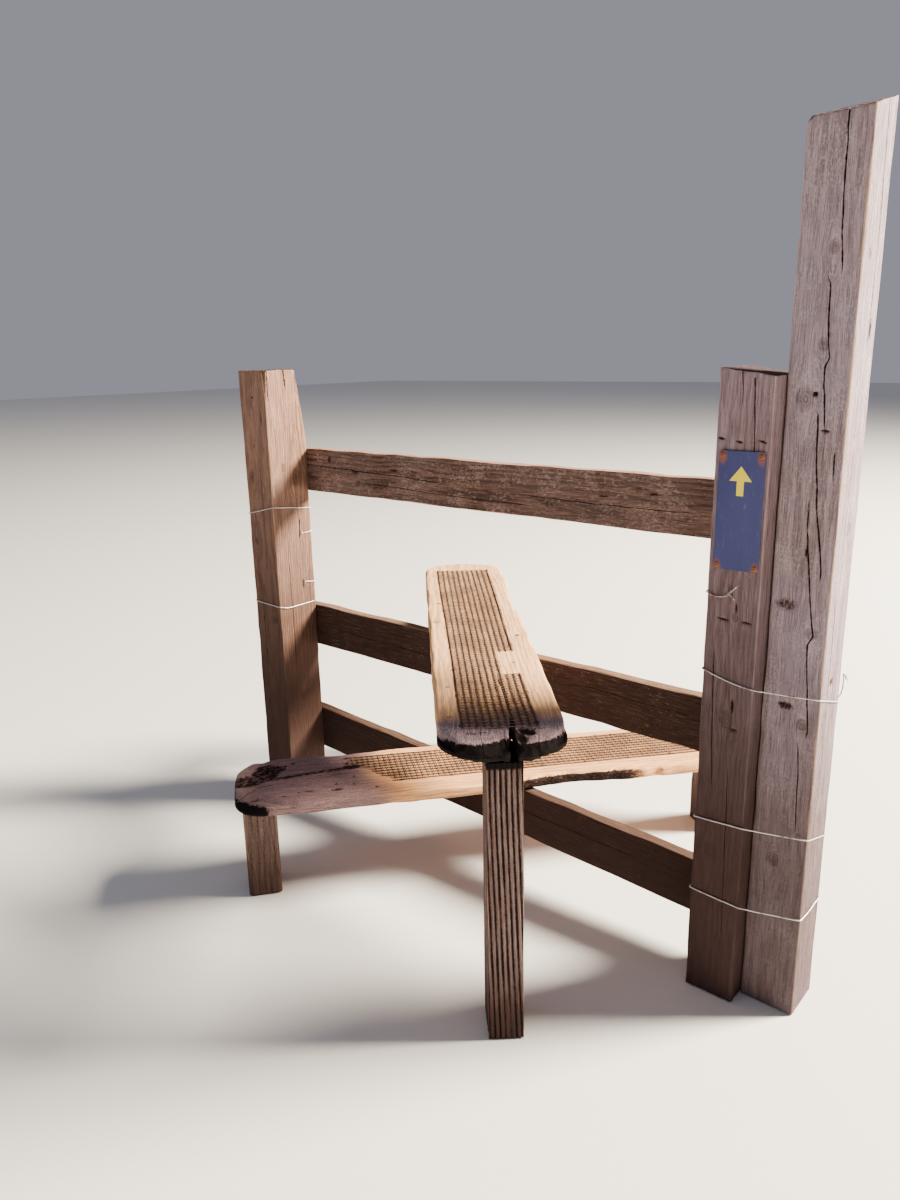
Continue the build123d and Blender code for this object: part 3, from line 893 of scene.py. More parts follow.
def look(*values):
    """The timber group's values, in the order of LOOK."""
    return dict(zip(LOOK, values))


def tones(light, dark, worn=None, grey=None, fleck=None):
    """The colours of one kind of timber; those not given are the common ones."""
    t = bpy.context.scene.stile_timber
    chosen = {"Light": light, "Dark": dark, "Grey": grey or t.grey, "End": t.end_grain,
              "Worn": worn or t.worn, "Fleck": fleck or t.fleck}
    return {label: (*tone, 1.0) for label, tone in chosen.items()}


# Posts


def corner_split(a, b, size):
    """Depth lost at a corner of a post's top, a and b away from its faces."""
    along, across, down = size
    return down * np.maximum(0, 1 - a / along - b / across)


def worn_arris(part):
    """The radius of this part's worn corners, in millimetres."""
    return getattr(bpy.context.scene.stile_timber, part + "_arris") / MM


def post(low, high, rows, columns, seed, **form):
    """A post that fills its node's box, and its width, depth and height."""
    width, depth, height = high[0] - low[0], high[1] - low[1], high[2]
    timber = Timber((height, width, depth), rows, columns, seed, arris=worn_arris("post"), **form)
    return timber, width, depth, height


def left_post():
    t, width, depth, _ = post(
        LEFT_LOW, LEFT_HIGH, 300, (30, 42), 21, pith=(38.0, 150.0), ridge_across=7.0, ridges=0.8
    )
    t.add(
        "right",
        checks=[
            (2.6, 12.0, [(1078, 10.5), (1110, 9.5), (1159, 10)], OPEN_FAR),
            (4.4, 20.0, [(1105, 66), (1129, 64), (1159, 63)], OPEN_FAR),
            (2.2, 7.0, [(1128, 101), (1159, 99)], OPEN_FAR),
            (3.4, 10.0, [(728, 80), (745, 82), (785, 84)], {"taper": 12.0}),
            (1.6, 5.0, [(380, 44), (560, 41), (700, 40)]),
        ],
        knots=[(917, 44, 7), (890, 82, 13, {"stretch": 1.5}), (300, 60, 9)],
        nicks=[(604, 84, 12, 2.4, 4), (1140, 19, 14, 2, 4)],
    )
    t.add(
        "front",
        checks=[(1.5, 5.0, [(640, 60), (800, 63), (960, 61)]), (1.5, 4.0, [(240, 30), (420, 33), (560, 31)])],
        knots=[(892, 26, 10), (726, 24, 6), (520, 78, 8)],
        nicks=[(1093, 49, 2.2, 6, 3), (971, 42, 5, 2, 2), (1040, 80, 20, 2, 2), (560, 20, 16, 2, 2)],
    )
    t.add("back", knots=[(760, 40, 11)])
    t.add("left", knots=[(640, 70, 9), (980, 40, 8)])
    t.far_inset = lambda y, z: np.maximum(
        corner_split(width - y, z, (12, 10, 110)), corner_split(width - y, depth - z, (34, 28, 190))
    ) + 2.5 * bumps(3, y / 9, z / 9)
    return t


def right_post():
    t, width, _, _ = post(
        RIGHT_LOW, RIGHT_HIGH, 320, (46, 24), 33, pith=(-30.0, 140.0), ridge_across=6.0, ridges=1.3
    )
    t.add(
        "front",
        checks=[
            (2.2, 14.0, [(1010, 67), (1029, 67), (1090, 64), (1152, 60.5)], OPEN_FAR),
            (1.4, 6.0, [(1100, 42), (1131, 42), (1152, 40)], OPEN_FAR),
            (1.3, 5.0, [(130, 66), (320, 62), (480, 58)]), (1.8, 6.0, [(420, 30), (520, 25), (640, 21), (700, 20)]),
        ],
        knots=[(747, 53, 5), (560, 50, 9, {"stretch": 1.6}), (300, 34, 8)],
        nicks=[
            (1045, 12, 1.6, 8, 2), (1040, 41, 1.6, 7, 2), (1043, 80, 1.6, 8, 2), (742, 34, 2, 13, 2),
            (741, 72, 2, 12, 2), (764, 54, 10, 1.6, 2.5), (588, 58, 14, 3, 3), (545, 62, 3, 8, 2),
        ],
    )
    t.add(
        "left",
        checks=[(2.0, 8.0, [(700, 60), (900, 66), (1156, 62)], OPEN_FAR)],
        knots=[(520, 70, 11)],
    )
    t.add("back", checks=[(2.0, 8.0, [(300, 50), (600, 46), (820, 52)])], knots=[(1000, 40, 9)])
    t.far_inset = lambda y, z: 14.0 * y / width + 1.5 * bumps(3, y / 9, z / 9)
    return t


def hand_post():
    front_height, side_rise, back_rise = 1512.0, 4.0, 25.0
    t, width, depth, height = post(
        HAND_LOW, HAND_HIGH, 400, (60, 26), 47, pith=(52.0, 70.0), ridge_across=6.5, ridges=0.6
    )
    t.add(
        "front",
        checks=[
            (2.0, 9.0, [(375, 76), (440, 73), (505, 70), (553, 66)], {"rank": 1}),
            (2.8, 14.0, [(551, 79), (569, 80), (651, 73), (708, 68), (723, 67), (739, 75), (757, 72), (818, 64),
                (886, 55), (925, 51)], {"rank": 2, "taper": 16.0}),
            (3.0, 16.0, [(830, 79), (856, 78), (893, 73), (951, 64), (1030, 57), (1107, 53),
                (1114, 46)], {"rank": 3, "taper": 16.0}),
            (2.8, 13.0, [(1079, 65), (1130, 61), (1150, 58), (1178, 58), (1190, 63), (1212, 59), (1270, 56),
                (1301, 55), (1314, 50)], {"rank": 4, "taper": 16.0}),
            (2.6, 16.0, [(1305, 69), (1323, 70), (1367, 65), (1440, 63),
                (1541, 60)], {"rank": 5, "open_far": True}),
        ],
        knots=[
            (1327, 57, 7), (1189, 52, 7), (1107, 32, 11, {"stretch": 1.4}), (730, 73, 8, {"stretch": 1.1}),
            (569, 71, 7), (300, 40, 9),
        ],
        nicks=[
            (1058, 66, 3, 4, 3), (1114, 46, 4, 5, 4), (925, 51, 26, 1.2, 4), (870, 54, 22, 1.2, 4),
            (597, 40, 7, 14, 2, {"shade": 0.6}), (774, 28, 12, 20, 0.6, {"shade": 0.45}), (1010, 84, 24, 1.3, 3),
        ],
    )
    t.add(
        "right",
        checks=[
            (1.8, 8.0, [(300, 30), (520, 34), (800, 28)]),
            (2.2, 10.0, [(1180, 60), (1380, 64), (1541, 54)], OPEN_FAR),
        ],
        knots=[(1318, 32, 6), (900, 60, 8)],
        nicks=[(640, 50, 8, 3, 2), (1210, 70, 16, 2, 2)],
    )
    t.add("left", checks=[(2.0, 10.0, [(1200, 40), (1541, 44)], OPEN_FAR)], knots=[(700, 50, 8)])
    t.add(
        "back",
        checks=[(3.0, 16.0, [(500, 50), (800, 44), (1200, 52), (1541, 50)], OPEN_FAR)],
        knots=[(1100, 70, 10), (650, 30, 8)],
    )

    def top(y, z):
        slope = front_height + side_rise * y / width + back_rise * z / depth
        chip = corner_split(y, z, (13, 20, 9)) + corner_split(width - y, z, (9, 9, 4))
        return height - slope + chip + 2.0 * bumps(3, y / 11, z / 11)

    t.far_inset, t.sloping_end = top, True
    return t


class STILE_OT_posts(bpy.types.Operator):
    """Build the left post, the right post and the tall hand post"""

    bl_idname = "stile.posts"
    bl_label = "Posts"

    def execute(self, context):
        s = context.scene.stile_timber
        # Darker towards the bottom: damp and painted shadow, strongest and highest on the right post
        plain = look(6.0, 0.65, 0.4, 0.2, 3.0, 0.2, 0.85, 0.9, 0.6)
        right = {**plain, "Grey Share": 0.6, "Damp And Shadow Height": 0.95, "Damp": 0.94}
        hand = look(7.0, 0.5, 0.65, 0.5, 3.2, 0.2, 0.75, 0.72, 0.8)
        brown = tones(s.post_light, s.post_dark, grey=(0.20, 0.13, 0.12))
        mauve = tones(s.right_light, s.right_dark, (0.44, 0.33, 0.34), (0.27, 0.20, 0.245))
        pale = tones(s.hand_light, s.hand_dark, grey=s.hand_grey, fleck=s.hand_fleck)
        posts = (
            ("left_post", left_post, LEFT_LOW, brown, plain, 0.9),
            ("right_post", right_post, RIGHT_LOW, mauve, right, 1.2),
            ("hand_post", hand_post, HAND_LOW, pale, hand, 1.1),
        )
        for name, design, low, colours, values, relief in posts:
            material = timber_material(name + "_timber", colours, values, relief)
            finish_piece(design().build(name + "_timber", UPRIGHT, low, material), "post_wood", name)
        return {"FINISHED"}


# Rails


# Each rail's height, its top at the middle of the opening, its fall in degrees,
# its rows and columns of points, seed, and how far up and how much it is darkened by damp and painted shadow
RAILS = {name: dict(zip(("height", "top", "fall", "detail", "damp"), row)) for name, row in {
    "top_rail": (114.0, RAIL_HIGH[2], 0.0, (280, (36, 12), 55), (0.05, 0.0)),
    "middle_rail": (117.0, MIDDLE_HIGH[2], 0.0, (240, (30, 12), 61), (0.75, 0.7)),
    "bottom_rail": (122.0, LOWER["under"], LOWER["fall"], (200, (28, 12), 67), (0.6, 0.85)),
}.items()}


def rail(name):
    """A rail board; its top edge is its left side and its near face its front."""
    height, detail = RAILS[name]["height"], RAILS[name]["detail"]
    seed = detail[-1]
    return Timber(
        (RAIL_HIGH[0] - RAIL_LOW[0], height, RAIL_THICKNESS), *detail,
        arris=worn_arris("rail"), pith=(height * 0.7, 70.0),
        ridge_across=7.0, ridges=1.0, hollow=1.2,
        side_wear=lambda x: (2.6 * bumps(seed, x / 70), 2.0 * bumps(seed + 1, x / 90)),
    )


def top_rail():
    t = rail("top_rail")
    t.add(
        "front",
        checks=[
            (1.8, 7.0, [(115, 44), (250, 48), (420, 53), (560, 58)]), (1.3, 5.0, [(300, 78), (520, 84), (800, 88)]),
            (1.2, 5.0, [(760, 66), (980, 70), (1180, 68)]),
        ],
        knots=[(466, 47, 9, {"stretch": 1.6}), (850, 80, 6), (1060, 36, 5)],
        nicks=[
            (178, 27, 5, 9, 2), (404, 41, 14, 2.6, 3.5), (270, 52, 14, 2, 2), (640, 30, 3, 3, 2),
            (980, 52, 12, 2, 2), (1090, 40, 20, 2, 2),
        ],
    )
    t.add("back", checks=[(2.0, 8.0, [(200, 60), (600, 52), (1100, 58)])], knots=[(700, 40, 9)])
    return t


def middle_rail():
    t = rail("middle_rail")
    t.add(
        "front",
        checks=[(1.6, 6.0, [(200, 60), (520, 66), (700, 62)]), (1.6, 6.0, [(900, 40), (1200, 46)])],
        knots=[(380, 70, 8), (1010, 80, 9)],
        nicks=[(300, 30, 14, 2, 2), (850, 52, 4, 6, 2), (1120, 84, 9, 3, 2)],
    )
    t.add("back", knots=[(500, 50, 10)])
    return t


def bottom_rail():
    t = rail("bottom_rail")
    t.add(
        "front",
        checks=[(1.6, 6.0, [(500, 50), (820, 56), (1100, 52)])],
        knots=[(960, 70, 9)],
        nicks=[(1020, 40, 12, 3, 2), (900, 90, 8, 2, 2)],
    )
    t.add("back", knots=[(400, 60, 9)])
    return t


class STILE_OT_rails(bpy.types.Operator):
    """Build the three rails"""

    bl_idname = "stile.rails"
    bl_label = "Rails"

    def execute(self, context):
        s = context.scene.stile_timber
        dark_worn = (0.48, 0.29, 0.19)
        for design in (top_rail, middle_rail, bottom_rail):
            name = design.__name__
            row, high = RAILS[name], design is top_rail
            # Damp darkening, which on the middle and bottom rails is mostly painted shade
            height, share = row["damp"]
            values = look(7.5, 0.8, 0.25 if high else 0.05, 0.46 if high else 0.2, 4.2, 0.3, height, share, 0.9)
            # The top rail takes lighter tones and the middle and bottom rails much darker ones: lit and shaded copies
            # of one timber, painted light and shade
            light = tuple(c * (1.3 if high else 0.36) for c in s.rail_light)
            colours = tones(light, s.rail_dark, dark_worn, fleck=(0.42, 0.31, 0.27))
            material = timber_material(name + "_timber", colours, {**values, "Painted Top Light": 0.75}, 1.1)
            tilt = falling(row["fall"])
            pivot = np.array([OPENING_X, RAIL_Y, row["top"]])
            origin = pivot + tilt @ (np.array([RAIL_LOW[0], RAIL_Y, row["top"]]) - pivot)
            axes = np.array(LYING, float) @ tilt.T
            finish_piece(design().build(name + "_timber", axes, origin, material), "rail_wood", name)
        return {"FINISHED"}


# Treads


def bowed(y, bow):
    """How far an end bowed to an arc lies inside the full length, y from the middle."""
    half = TREAD_WIDTH / 2
    radius = (half**2 + bow**2) / (2 * bow)
    return radius - np.sqrt(radius**2 - np.clip(abs(y), 0, half) ** 2)


def upper_tread():
    length = UPPER["near"] + UPPER["far"]
    thick = UPPER["thick"]
    half = TREAD_WIDTH / 2
    t = Timber(
        (length, TREAD_WIDTH, thick), 340, (92, 14), 71, arris=worn_arris("tread"),
        end_arris=5.0, fine=(80.0, 116.0, 2.5), pith=(150.0, -60.0), ridge_across=7.0, ridges=0.7, hollow=1.4,
    )
    corner, split_lip, split_tip, split_half, split_long = 78.0, 98.0, 95.0, 6.5, 84.0
    # Where the flat top gives way to the worn end, painted near-black as shade: across, then along
    brow_across = (0, 6, 19, 33, 46, 60, 73, 88, 100, 112, 126, 140, 154, 167, 180, 192, 202, 214, 225)
    brow_along = (54, 42, 26, 14, 9, 8, 10, 14, 34, 36, 26, 19, 15, 13, 12, 17, 29, 42, 54)

    def near(y, z):
        inside = np.clip((abs(y - half) - (half - corner)) / corner, 0, 1)
        worn = corner * (1 - np.sqrt(np.clip(1 - inside**2, 0, 1)))
        reach = np.where(y > split_tip, split_lip + split_half - split_tip, split_tip - split_lip + split_half)
        wedge = np.clip(1 - abs(y - split_tip) / reach, 0, 1)
        ragged = 3.0 * bumps(13, y / 7, z / 14) + 2.5 * bumps(15, y / 25, z / 30)
        torn = 0.85 + 0.3 * bumps(12, y / 3, z / 9)
        return worn + split_long * wedge**0.75 * torn + ragged

    def far(y, z):
        return bowed(y - half, half) + 0.8 * bumps(14, y / 14, z / 20)

    def brow(x, y):
        """How far a place lies behind the line where the dark end begins."""
        ragged = 5.0 * (bumps(28, x / 9, y / 3.2) - 0.5)
        return x - np.interp(y, brow_across, brow_along) + ragged

    def top(x, y):
        edge = np.minimum(y, TREAD_WIDTH - y)
        back = brow(x, y)
        bevel = 16.0 * smooth(-back, -2, 20) + 1.2 * smooth(-back, -40, 0)
        trodden = 1.6 * smooth(edge, 20, 80) * (0.6 + 0.8 * bumps(16, x / 160, y / 60))
        comb = 2.4 * smooth(-back, -60, 5) * bumps(19, x / 60, y / 3.4)
        return bevel + trodden + comb

    def under(x, y):
        return 12.0 * smooth(-(x - near(y, 0 * y)), -14, 0)

    def sides(x):
        step = 9.5 * smooth(x, 790, 822) * (1 - smooth(x, 850, 1180))
        wave = 2.0 * bumps(18, x / 60) * smooth(x, 500, 900)
        other = 2.5 * bumps(20, x / 90)
        return step + wave, other

    t.near_inset, t.far_inset, t.top_wear, t.under_wear, t.side_wear = near, far, top, under, sides
    t.add(
        "back",
        checks=[
            (1.8, 7.0, [(0, 60), (20, 57), (44, 54)], OPEN_NEAR),
            (3.4, 12.0, [(70, 93), (120, 92), (200, 95),
                (300, 99)], {"wander": 2.4, "taper": 90.0, "open_near": True}),
            (0.8, 3.0, [(8, 150), (52, 151), (110, 149)], OPEN_NEAR),
        ],
        knots=[(580, 26, 6), (124, 198, 4), (700, 205, 6)],
        nicks=[
            (580, 30, 4, 5, 2.5), (402, 57, 3, 4, 2), (271, 196, 3, 5, 2), (860, 196, 4, 7, 2),
            (36, 82, 16, 10, 6, {"shade": 0.6}), (62, 76, 12, 9, 4, {"shade": 0.5}),
            (50, 66, 10, 9, 3, {"shade": 0.4}),
        ],
    )
    t.add("front", checks=[(2.0, 9.0, [(40, 90), (300, 96), (620, 92)])], knots=[(500, 120, 10)])

    def stain(x, y, z):
        on_top = z > thick - 18
        back = brow(x, y)
        edge = x - near(y, z)
        underside = fade(edge, 20, 30) * (z < thick - 8)
        # Near-black painted shade on the worn end bevel, on the end face and the walls of the split, and on the
        # underside near the end
        end = 0.99 * np.maximum(np.maximum(smooth(-back, -3, 2), fade(edge, 7, 13)), underside)
        band = 0.5 * fade(back, 45, 75) * smooth(back, 25, 45) * smooth(bumps(26, x / 13, y / 13), 0.35, 0.7)
        band = band * smooth(y, 30, 50) * fade(y, 165, 190)
        split = 0.8 * np.exp(-(((y - 84) / 12) ** 2)) * fade(x, 25, 85) * bumps(27, x / 8, y / 5)
        return np.maximum((band + split) * on_top, end)

    t.stain = stain
    return t


def lower_tread():
    length = LOWER["near"] + LOWER["far"]
    half = TREAD_WIDTH / 2
    t = Timber(
        (length, TREAD_WIDTH, LOWER["thick"]), 320, (82, 12), 83, arris=worn_arris("tread"),
        end_arris=6.0, pith=(120.0, -90.0), ridge_across=8.0, ridges=0.8, hollow=1.6,
    )

    # The near end's outline on the underside and on top: across, then distance in
    low_across = (0, 7, 12, 23, 34, 49, 60, 95, 155, 175, 197, 214, 225)
    low_inset = (80, 55, 37, 19, 9, 2, 0, 0, 2, 6, 20, 36, 54)
    top_across = (0, 8, 19, 24, 46, 53, 74, 105, 150, 174, 197, 217, 225)
    top_inset = (80, 63, 52, 39, 22, 9, 2, 0, 2, 6, 20, 40, 56)

    # Moss and dirt trodden into the near end: along, then both edges across
    moss_along = (0, 11, 39, 56, 74, 90, 108, 119, 126)
    moss_low = (113, 96, 97, 104, 114, 123, 149, 164, 184)
    moss_high = (150, 149, 150, 186, 194, 192, 189, 188, 186)

    def top_edge(y):
        return np.interp(y, top_across, top_inset)

    def near(y, z):
        share = smooth(z, 5, 24)
        rot = 5.0 * fade(y, 20, 75) * (bumps(31, y / 6, z / 9) - 0.4) * share
        inset = (1 - share) * np.interp(y, low_across, low_inset) + share * top_edge(y)
        return np.maximum(inset + rot + 1.6 * bumps(32, y / 12, z / 18), 0.3)

    def far(y, z):
        return bowed(y - half, 76.0) + 2.0 * bumps(33, y / 14, z / 20)

    def mossy(x, y):
        """1 where the near end is covered by moss, 0 outside, with a ragged edge."""
        ragged = 5.0 * (bumps(40, x / 6, y / 5) - 0.5)
        low, high = np.interp(x, moss_along, moss_low), np.interp(x, moss_along, moss_high)
        return smooth(y - low + ragged, -1, 3) * smooth(high - y + ragged, -1, 3) * fade(x, 120, 128)

    def top(x, y):
        back = x - top_edge(y)
        bevel = 5.0 * np.exp(-np.maximum(back, 0) / 7.0) * (0.4 + bumps(34, x / 20, y / 20))
        moss = 1.6 * mossy(x, y) * bumps(35, x / 5, y / 4)
        edge_rot = 9.0 * fade(y, 2, 16) * smooth(x, 560, 660) * fade(x, 900, 1010)
        edge_rot = edge_rot * smooth(bumps(36, x / 26, y / 10), 0.2, 0.7)
        trodden = 1.4 * smooth(np.minimum(y, TREAD_WIDTH - y), 20, 70)
        return bevel + moss + edge_rot + trodden

    def sides(x):
        low = 13.0 * smooth(x, 640, 760) * fade(x, 800, 970)
        low = low + 5.0 * bumps(37, x / 30) * smooth(x, 600, 680)
        low = low + 2.5 * bumps(38, x / 70) * smooth(x, 90, 200)
        high = 6.0 * smooth(x, 120, 226) * fade(x, 250, 330)
        return low, high + 3.0 * bumps(39, x / 80) * smooth(x, 120, 226)

    def stain(x, y, z):
        on_top = z > LOWER["thick"] - 12
        line = 110 + 0.14 * x
        width = 6.0 + 3.0 * fade(x, 90, 110) + 2.0 * smooth(x, 230, 270)
        band = np.exp(-(((y - line) / width) ** 4)) * fade(x, 270, 320) * smooth(x, 80, 95)
        rough = 0.5 + 0.5 * smooth(bumps(41, x / 6, y / 4), 0.3, 0.6)
        worn_through = sum(
            np.exp(-(((x - along) / long) ** 2) - ((y - across) / wide) ** 2)
            for along, long, across, wide in ((275, 34, 158, 20), (372, 26, 95, 22))
        )
        shade = 0.66 * mossy(x, y) * rough + 0.66 * band * rough + 0.5 * worn_through * rough
        # Painted shade on the side under the torn left edge
        painted_shade_under_edge = 0.62 * smooth(x, 600, 660) * fade(x, 900, 980) * (y < 24) * (z < LOWER["thick"] - 4)
        torn = 9.0 * (bumps(42, x / 6, y / 4) - 0.55)
        # Near-black painted shade on the steep near end face, beyond the top's outline
        end_face_painted_shade = 0.98 * smooth(top_edge(y) - x + torn, -4.0, 1.0)
        end_face_painted_shade = end_face_painted_shade * (0.4 + 0.6 * fade(y, 80, 110))
        return np.maximum(np.clip(shade, 0, 0.96) * on_top + painted_shade_under_edge, end_face_painted_shade)

    t.near_inset, t.far_inset, t.top_wear, t.side_wear, t.stain = near, far, top, sides, stain
    t.add(
        "back",
        checks=[
            (3.2, 12.0, [(4, 54), (17, 60), (33, 70), (48, 83), (58, 91), (71, 94), (89, 97),
                (135, 96)], {"wander": 0.8, "open_near": True, "taper": 75.0}),
            (1.5, 6.0, [(700, 38), (850, 44), (980, 42)]),
        ],
        knots=[(229, 51, 6, {"stretch": 1.5}), (316, 45, 3), (900, 195, 6)],
        nicks=[
            (45, 41, 10, 2.2, 3), (107, 39, 7, 2, 2.5), (142, 51, 5, 3, 3), (166, 52, 13, 2.2, 3),
            (225, 50, 14, 4, 4), (228, 75, 4, 3, 2), (272, 104, 3, 3, 2), (138, 191, 6, 3, 3), (316, 45, 4, 3, 3),
            (262, 168, 4, 4, 2), (810, 214, 5, 3, 2),
        ],
    )
    t.add("front", checks=[(2.0, 9.0, [(40, 120), (400, 112), (820, 118)])], knots=[(600, 90, 9)])
    return t


TREADS = {"upper_tread": (UPPER, upper_tread), "lower_tread": (LOWER, lower_tread)}


class STILE_OT_treads(bpy.types.Operator):
    """Build the two crossing treads"""

    bl_idname = "stile.treads"
    bl_label = "Treads"

    def execute(self, context):
        s = context.scene.stile_timber
        m = context.scene.stile_mesh
        # Painted shadow over the near end of each tread: its share, tone, reach and fade
        values = {**look(8.0, 0.4, 0.18, 0.12, 3.0, 0.1, 0.05, 0.0, 0.35), "Painted Shadow Share": 0.92}
        dulling_and_painted_shadow = {
            "upper_tread": {"Dull": (0.26, 0.19, 0.22, 1), "Painted Shadow Length": 108.0, "Painted Shadow Fade": 40.0},
            "lower_tread": {"Dull": (0.195, 0.13, 0.145, 1), "Painted Shadow Length": 330.0, "Painted Shadow Fade": 90.0},
        }
        red, green, blue = s.tread_light
        lights = {"upper_tread": (red, green, blue), "lower_tread": (red, green * 0.9, blue * 0.75)}
        for name, (tread, design) in TREADS.items():
            timber = design()
            layout = mesh_layout(name, m)
            rows = [TREAD_WIDTH / 2 - timber.pith[0] + row for row in layout["rows"]]
            # Where the mesh soil and painted wire shadows lie on this tread
            soil_and_wire_shadows = {
                "Pitch": m.pitch / MM, "Phase X": layout["near"] + m.wire / MM, "Phase Y": rows[0],
                "Low X": layout["near"], "High X": layout["far"], "Low Y": rows[0] - 4, "High Y": rows[-1] + 4,
                "Hole Low": layout["hole"][0], "Hole High": layout["hole"][1], "Hole Top": rows[2] + 4,
                "Slant": layout["slant"], "Fan": layout["fan"],
            }
            colours = tones(lights[name], s.tread_dark, s.tread_worn, s.tread_grey, s.tread_fleck)
            material = timber_material(name + "_timber", colours, {**values, **dulling_and_painted_shadow[name]}, 0.8, soil_and_wire_shadows)
            axes, origin = tread_axes(tread)
            finish_piece(timber.build(name + "_timber", axes, origin, material), "tread_wood", name)
        return {"FINISHED"}


# Legs


def leg(name):
    """A leg with strongly raised grain; its front faces the near end of its tread."""
    upper = name.startswith("upper")
    near = "near" in name
    tread = UPPER if upper else LOWER
    width, depth, inset = (65.0, 90.0, 19.0) if upper else (95.0, 86.0, 12.0)
    offset = 0.0 if upper else -3.0
    reach = tread["near"] if near else tread["far"]
    along = (-1 if near else 1) * (reach - inset - depth / 2)
    u, left = tread_directions(tread)
    middle = np.array([OPENING_X + tread["crossing"], RAIL_Y + RAIL_THICKNESS / 2, 0]) + along * u + offset * left
    height = node_box(name)[1][2]
    seed = {"upper_near_leg": 91, "upper_far_leg": 92, "lower_near_leg": 93, "lower_far_leg": 94}[name]
    fine = name == "upper_near_leg"
    detail = (150, (54, 54)) if fine else (90 if upper else 60, (34, 30))
    t = Timber(
        (height, width, depth), *detail, seed, arris=3.5 if upper else 11.0, end_arris=2.0, ridges=0.5,
        ridge_across=5.0, hollow=0.6, end_rough=0.3, pith=(width * 1.9, -30.0),
    )
    if not upper:
        # The lower legs are slimmer than their sawn size on every side
        t.side_wear = lambda x: (2.0 + 0 * x, 2.0 + 0 * x)
        t.top_wear = t.under_wear = lambda x, y: 5.0 + 0 * x
    spacing = 8.5

    def groove(x, y, z):
        drift = (height - x) * 0.03 + 5.0 * bumps(seed, x / 220, y / 60, z / 60)
        away = np.hypot(y - t.pith[0], z - t.pith[1]) + drift
        phase = away / spacing - np.floor(away / spacing)
        strength = 2.2 if fine else (1.5 if upper else 0.8)
        ridge = np.exp(-(((phase - 0.5) / 0.23) ** 2))
        return strength * ridge * (0.6 + 0.6 * bumps(seed + 2, x / 50, y / 8, z / 8))

    def stain(x, y, z):
        # Painted shadow over the top of the leg, under its tread; darker in the grooves of the raised grain
        painted_top_shadow = (0.97 if fine else 0.6) * smooth(x, height - 18, height - 8)
        return np.maximum(np.clip(groove(x, y, z) / 1.9, 0, 1) * 0.85, painted_top_shadow)

    t.groove, t.stain = groove, stain
    fall = math.tan(math.radians(tread["fall"]))
    axes = np.array([[0, 0, 1.0], -left, u])
    origin = middle + left * width / 2 - u * depth / 2

    def top(y, z):
        x_place = origin[0] + axes[1][0] * y + axes[2][0] * z
        return height - (tread["under"] - (x_place - OPENING_X) * fall)

    if tread["fall"]:
        t.far_inset = top
    return t, axes, origin


class STILE_OT_legs(bpy.types.Operator):
    """Build the leg under each end of each tread"""

    bl_idname = "stile.legs"
    bl_label = "Legs"

    def execute(self, context):
        s = context.scene.stile_timber
        values = look(8.5, 0.2, 0.45, 0.15, 3.0, 0.1, 0.22, 0.85, 0.4)
        for level, light, dark in (("upper", s.leg_light, s.leg_dark), ("lower", s.low_leg_light, s.low_leg_dark)):
            material = timber_material(level + "_leg_timber", tones(light, dark), values, 1.0)
            for end in ("_near_leg", "_far_leg"):
                name = level + end
                timber, axes, origin = leg(name)
                finish_piece(timber.build(name + "_timber", axes, origin, material), "leg_wood", name)
        return {"FINISHED"}


# Geometry Nodes

GEOMETRY_TREE = "GeometryNodeTree"


def with_material(g, geometry, material):
    """Ends a geometry tree: real geometry in its material."""
    real = g.add("GeometryNodeRealizeInstances", {"Geometry": geometry})[0]
    return g.end({"Geometry": g.add("GeometryNodeSetMaterial", {"Geometry": real, "Material": material})[0]})


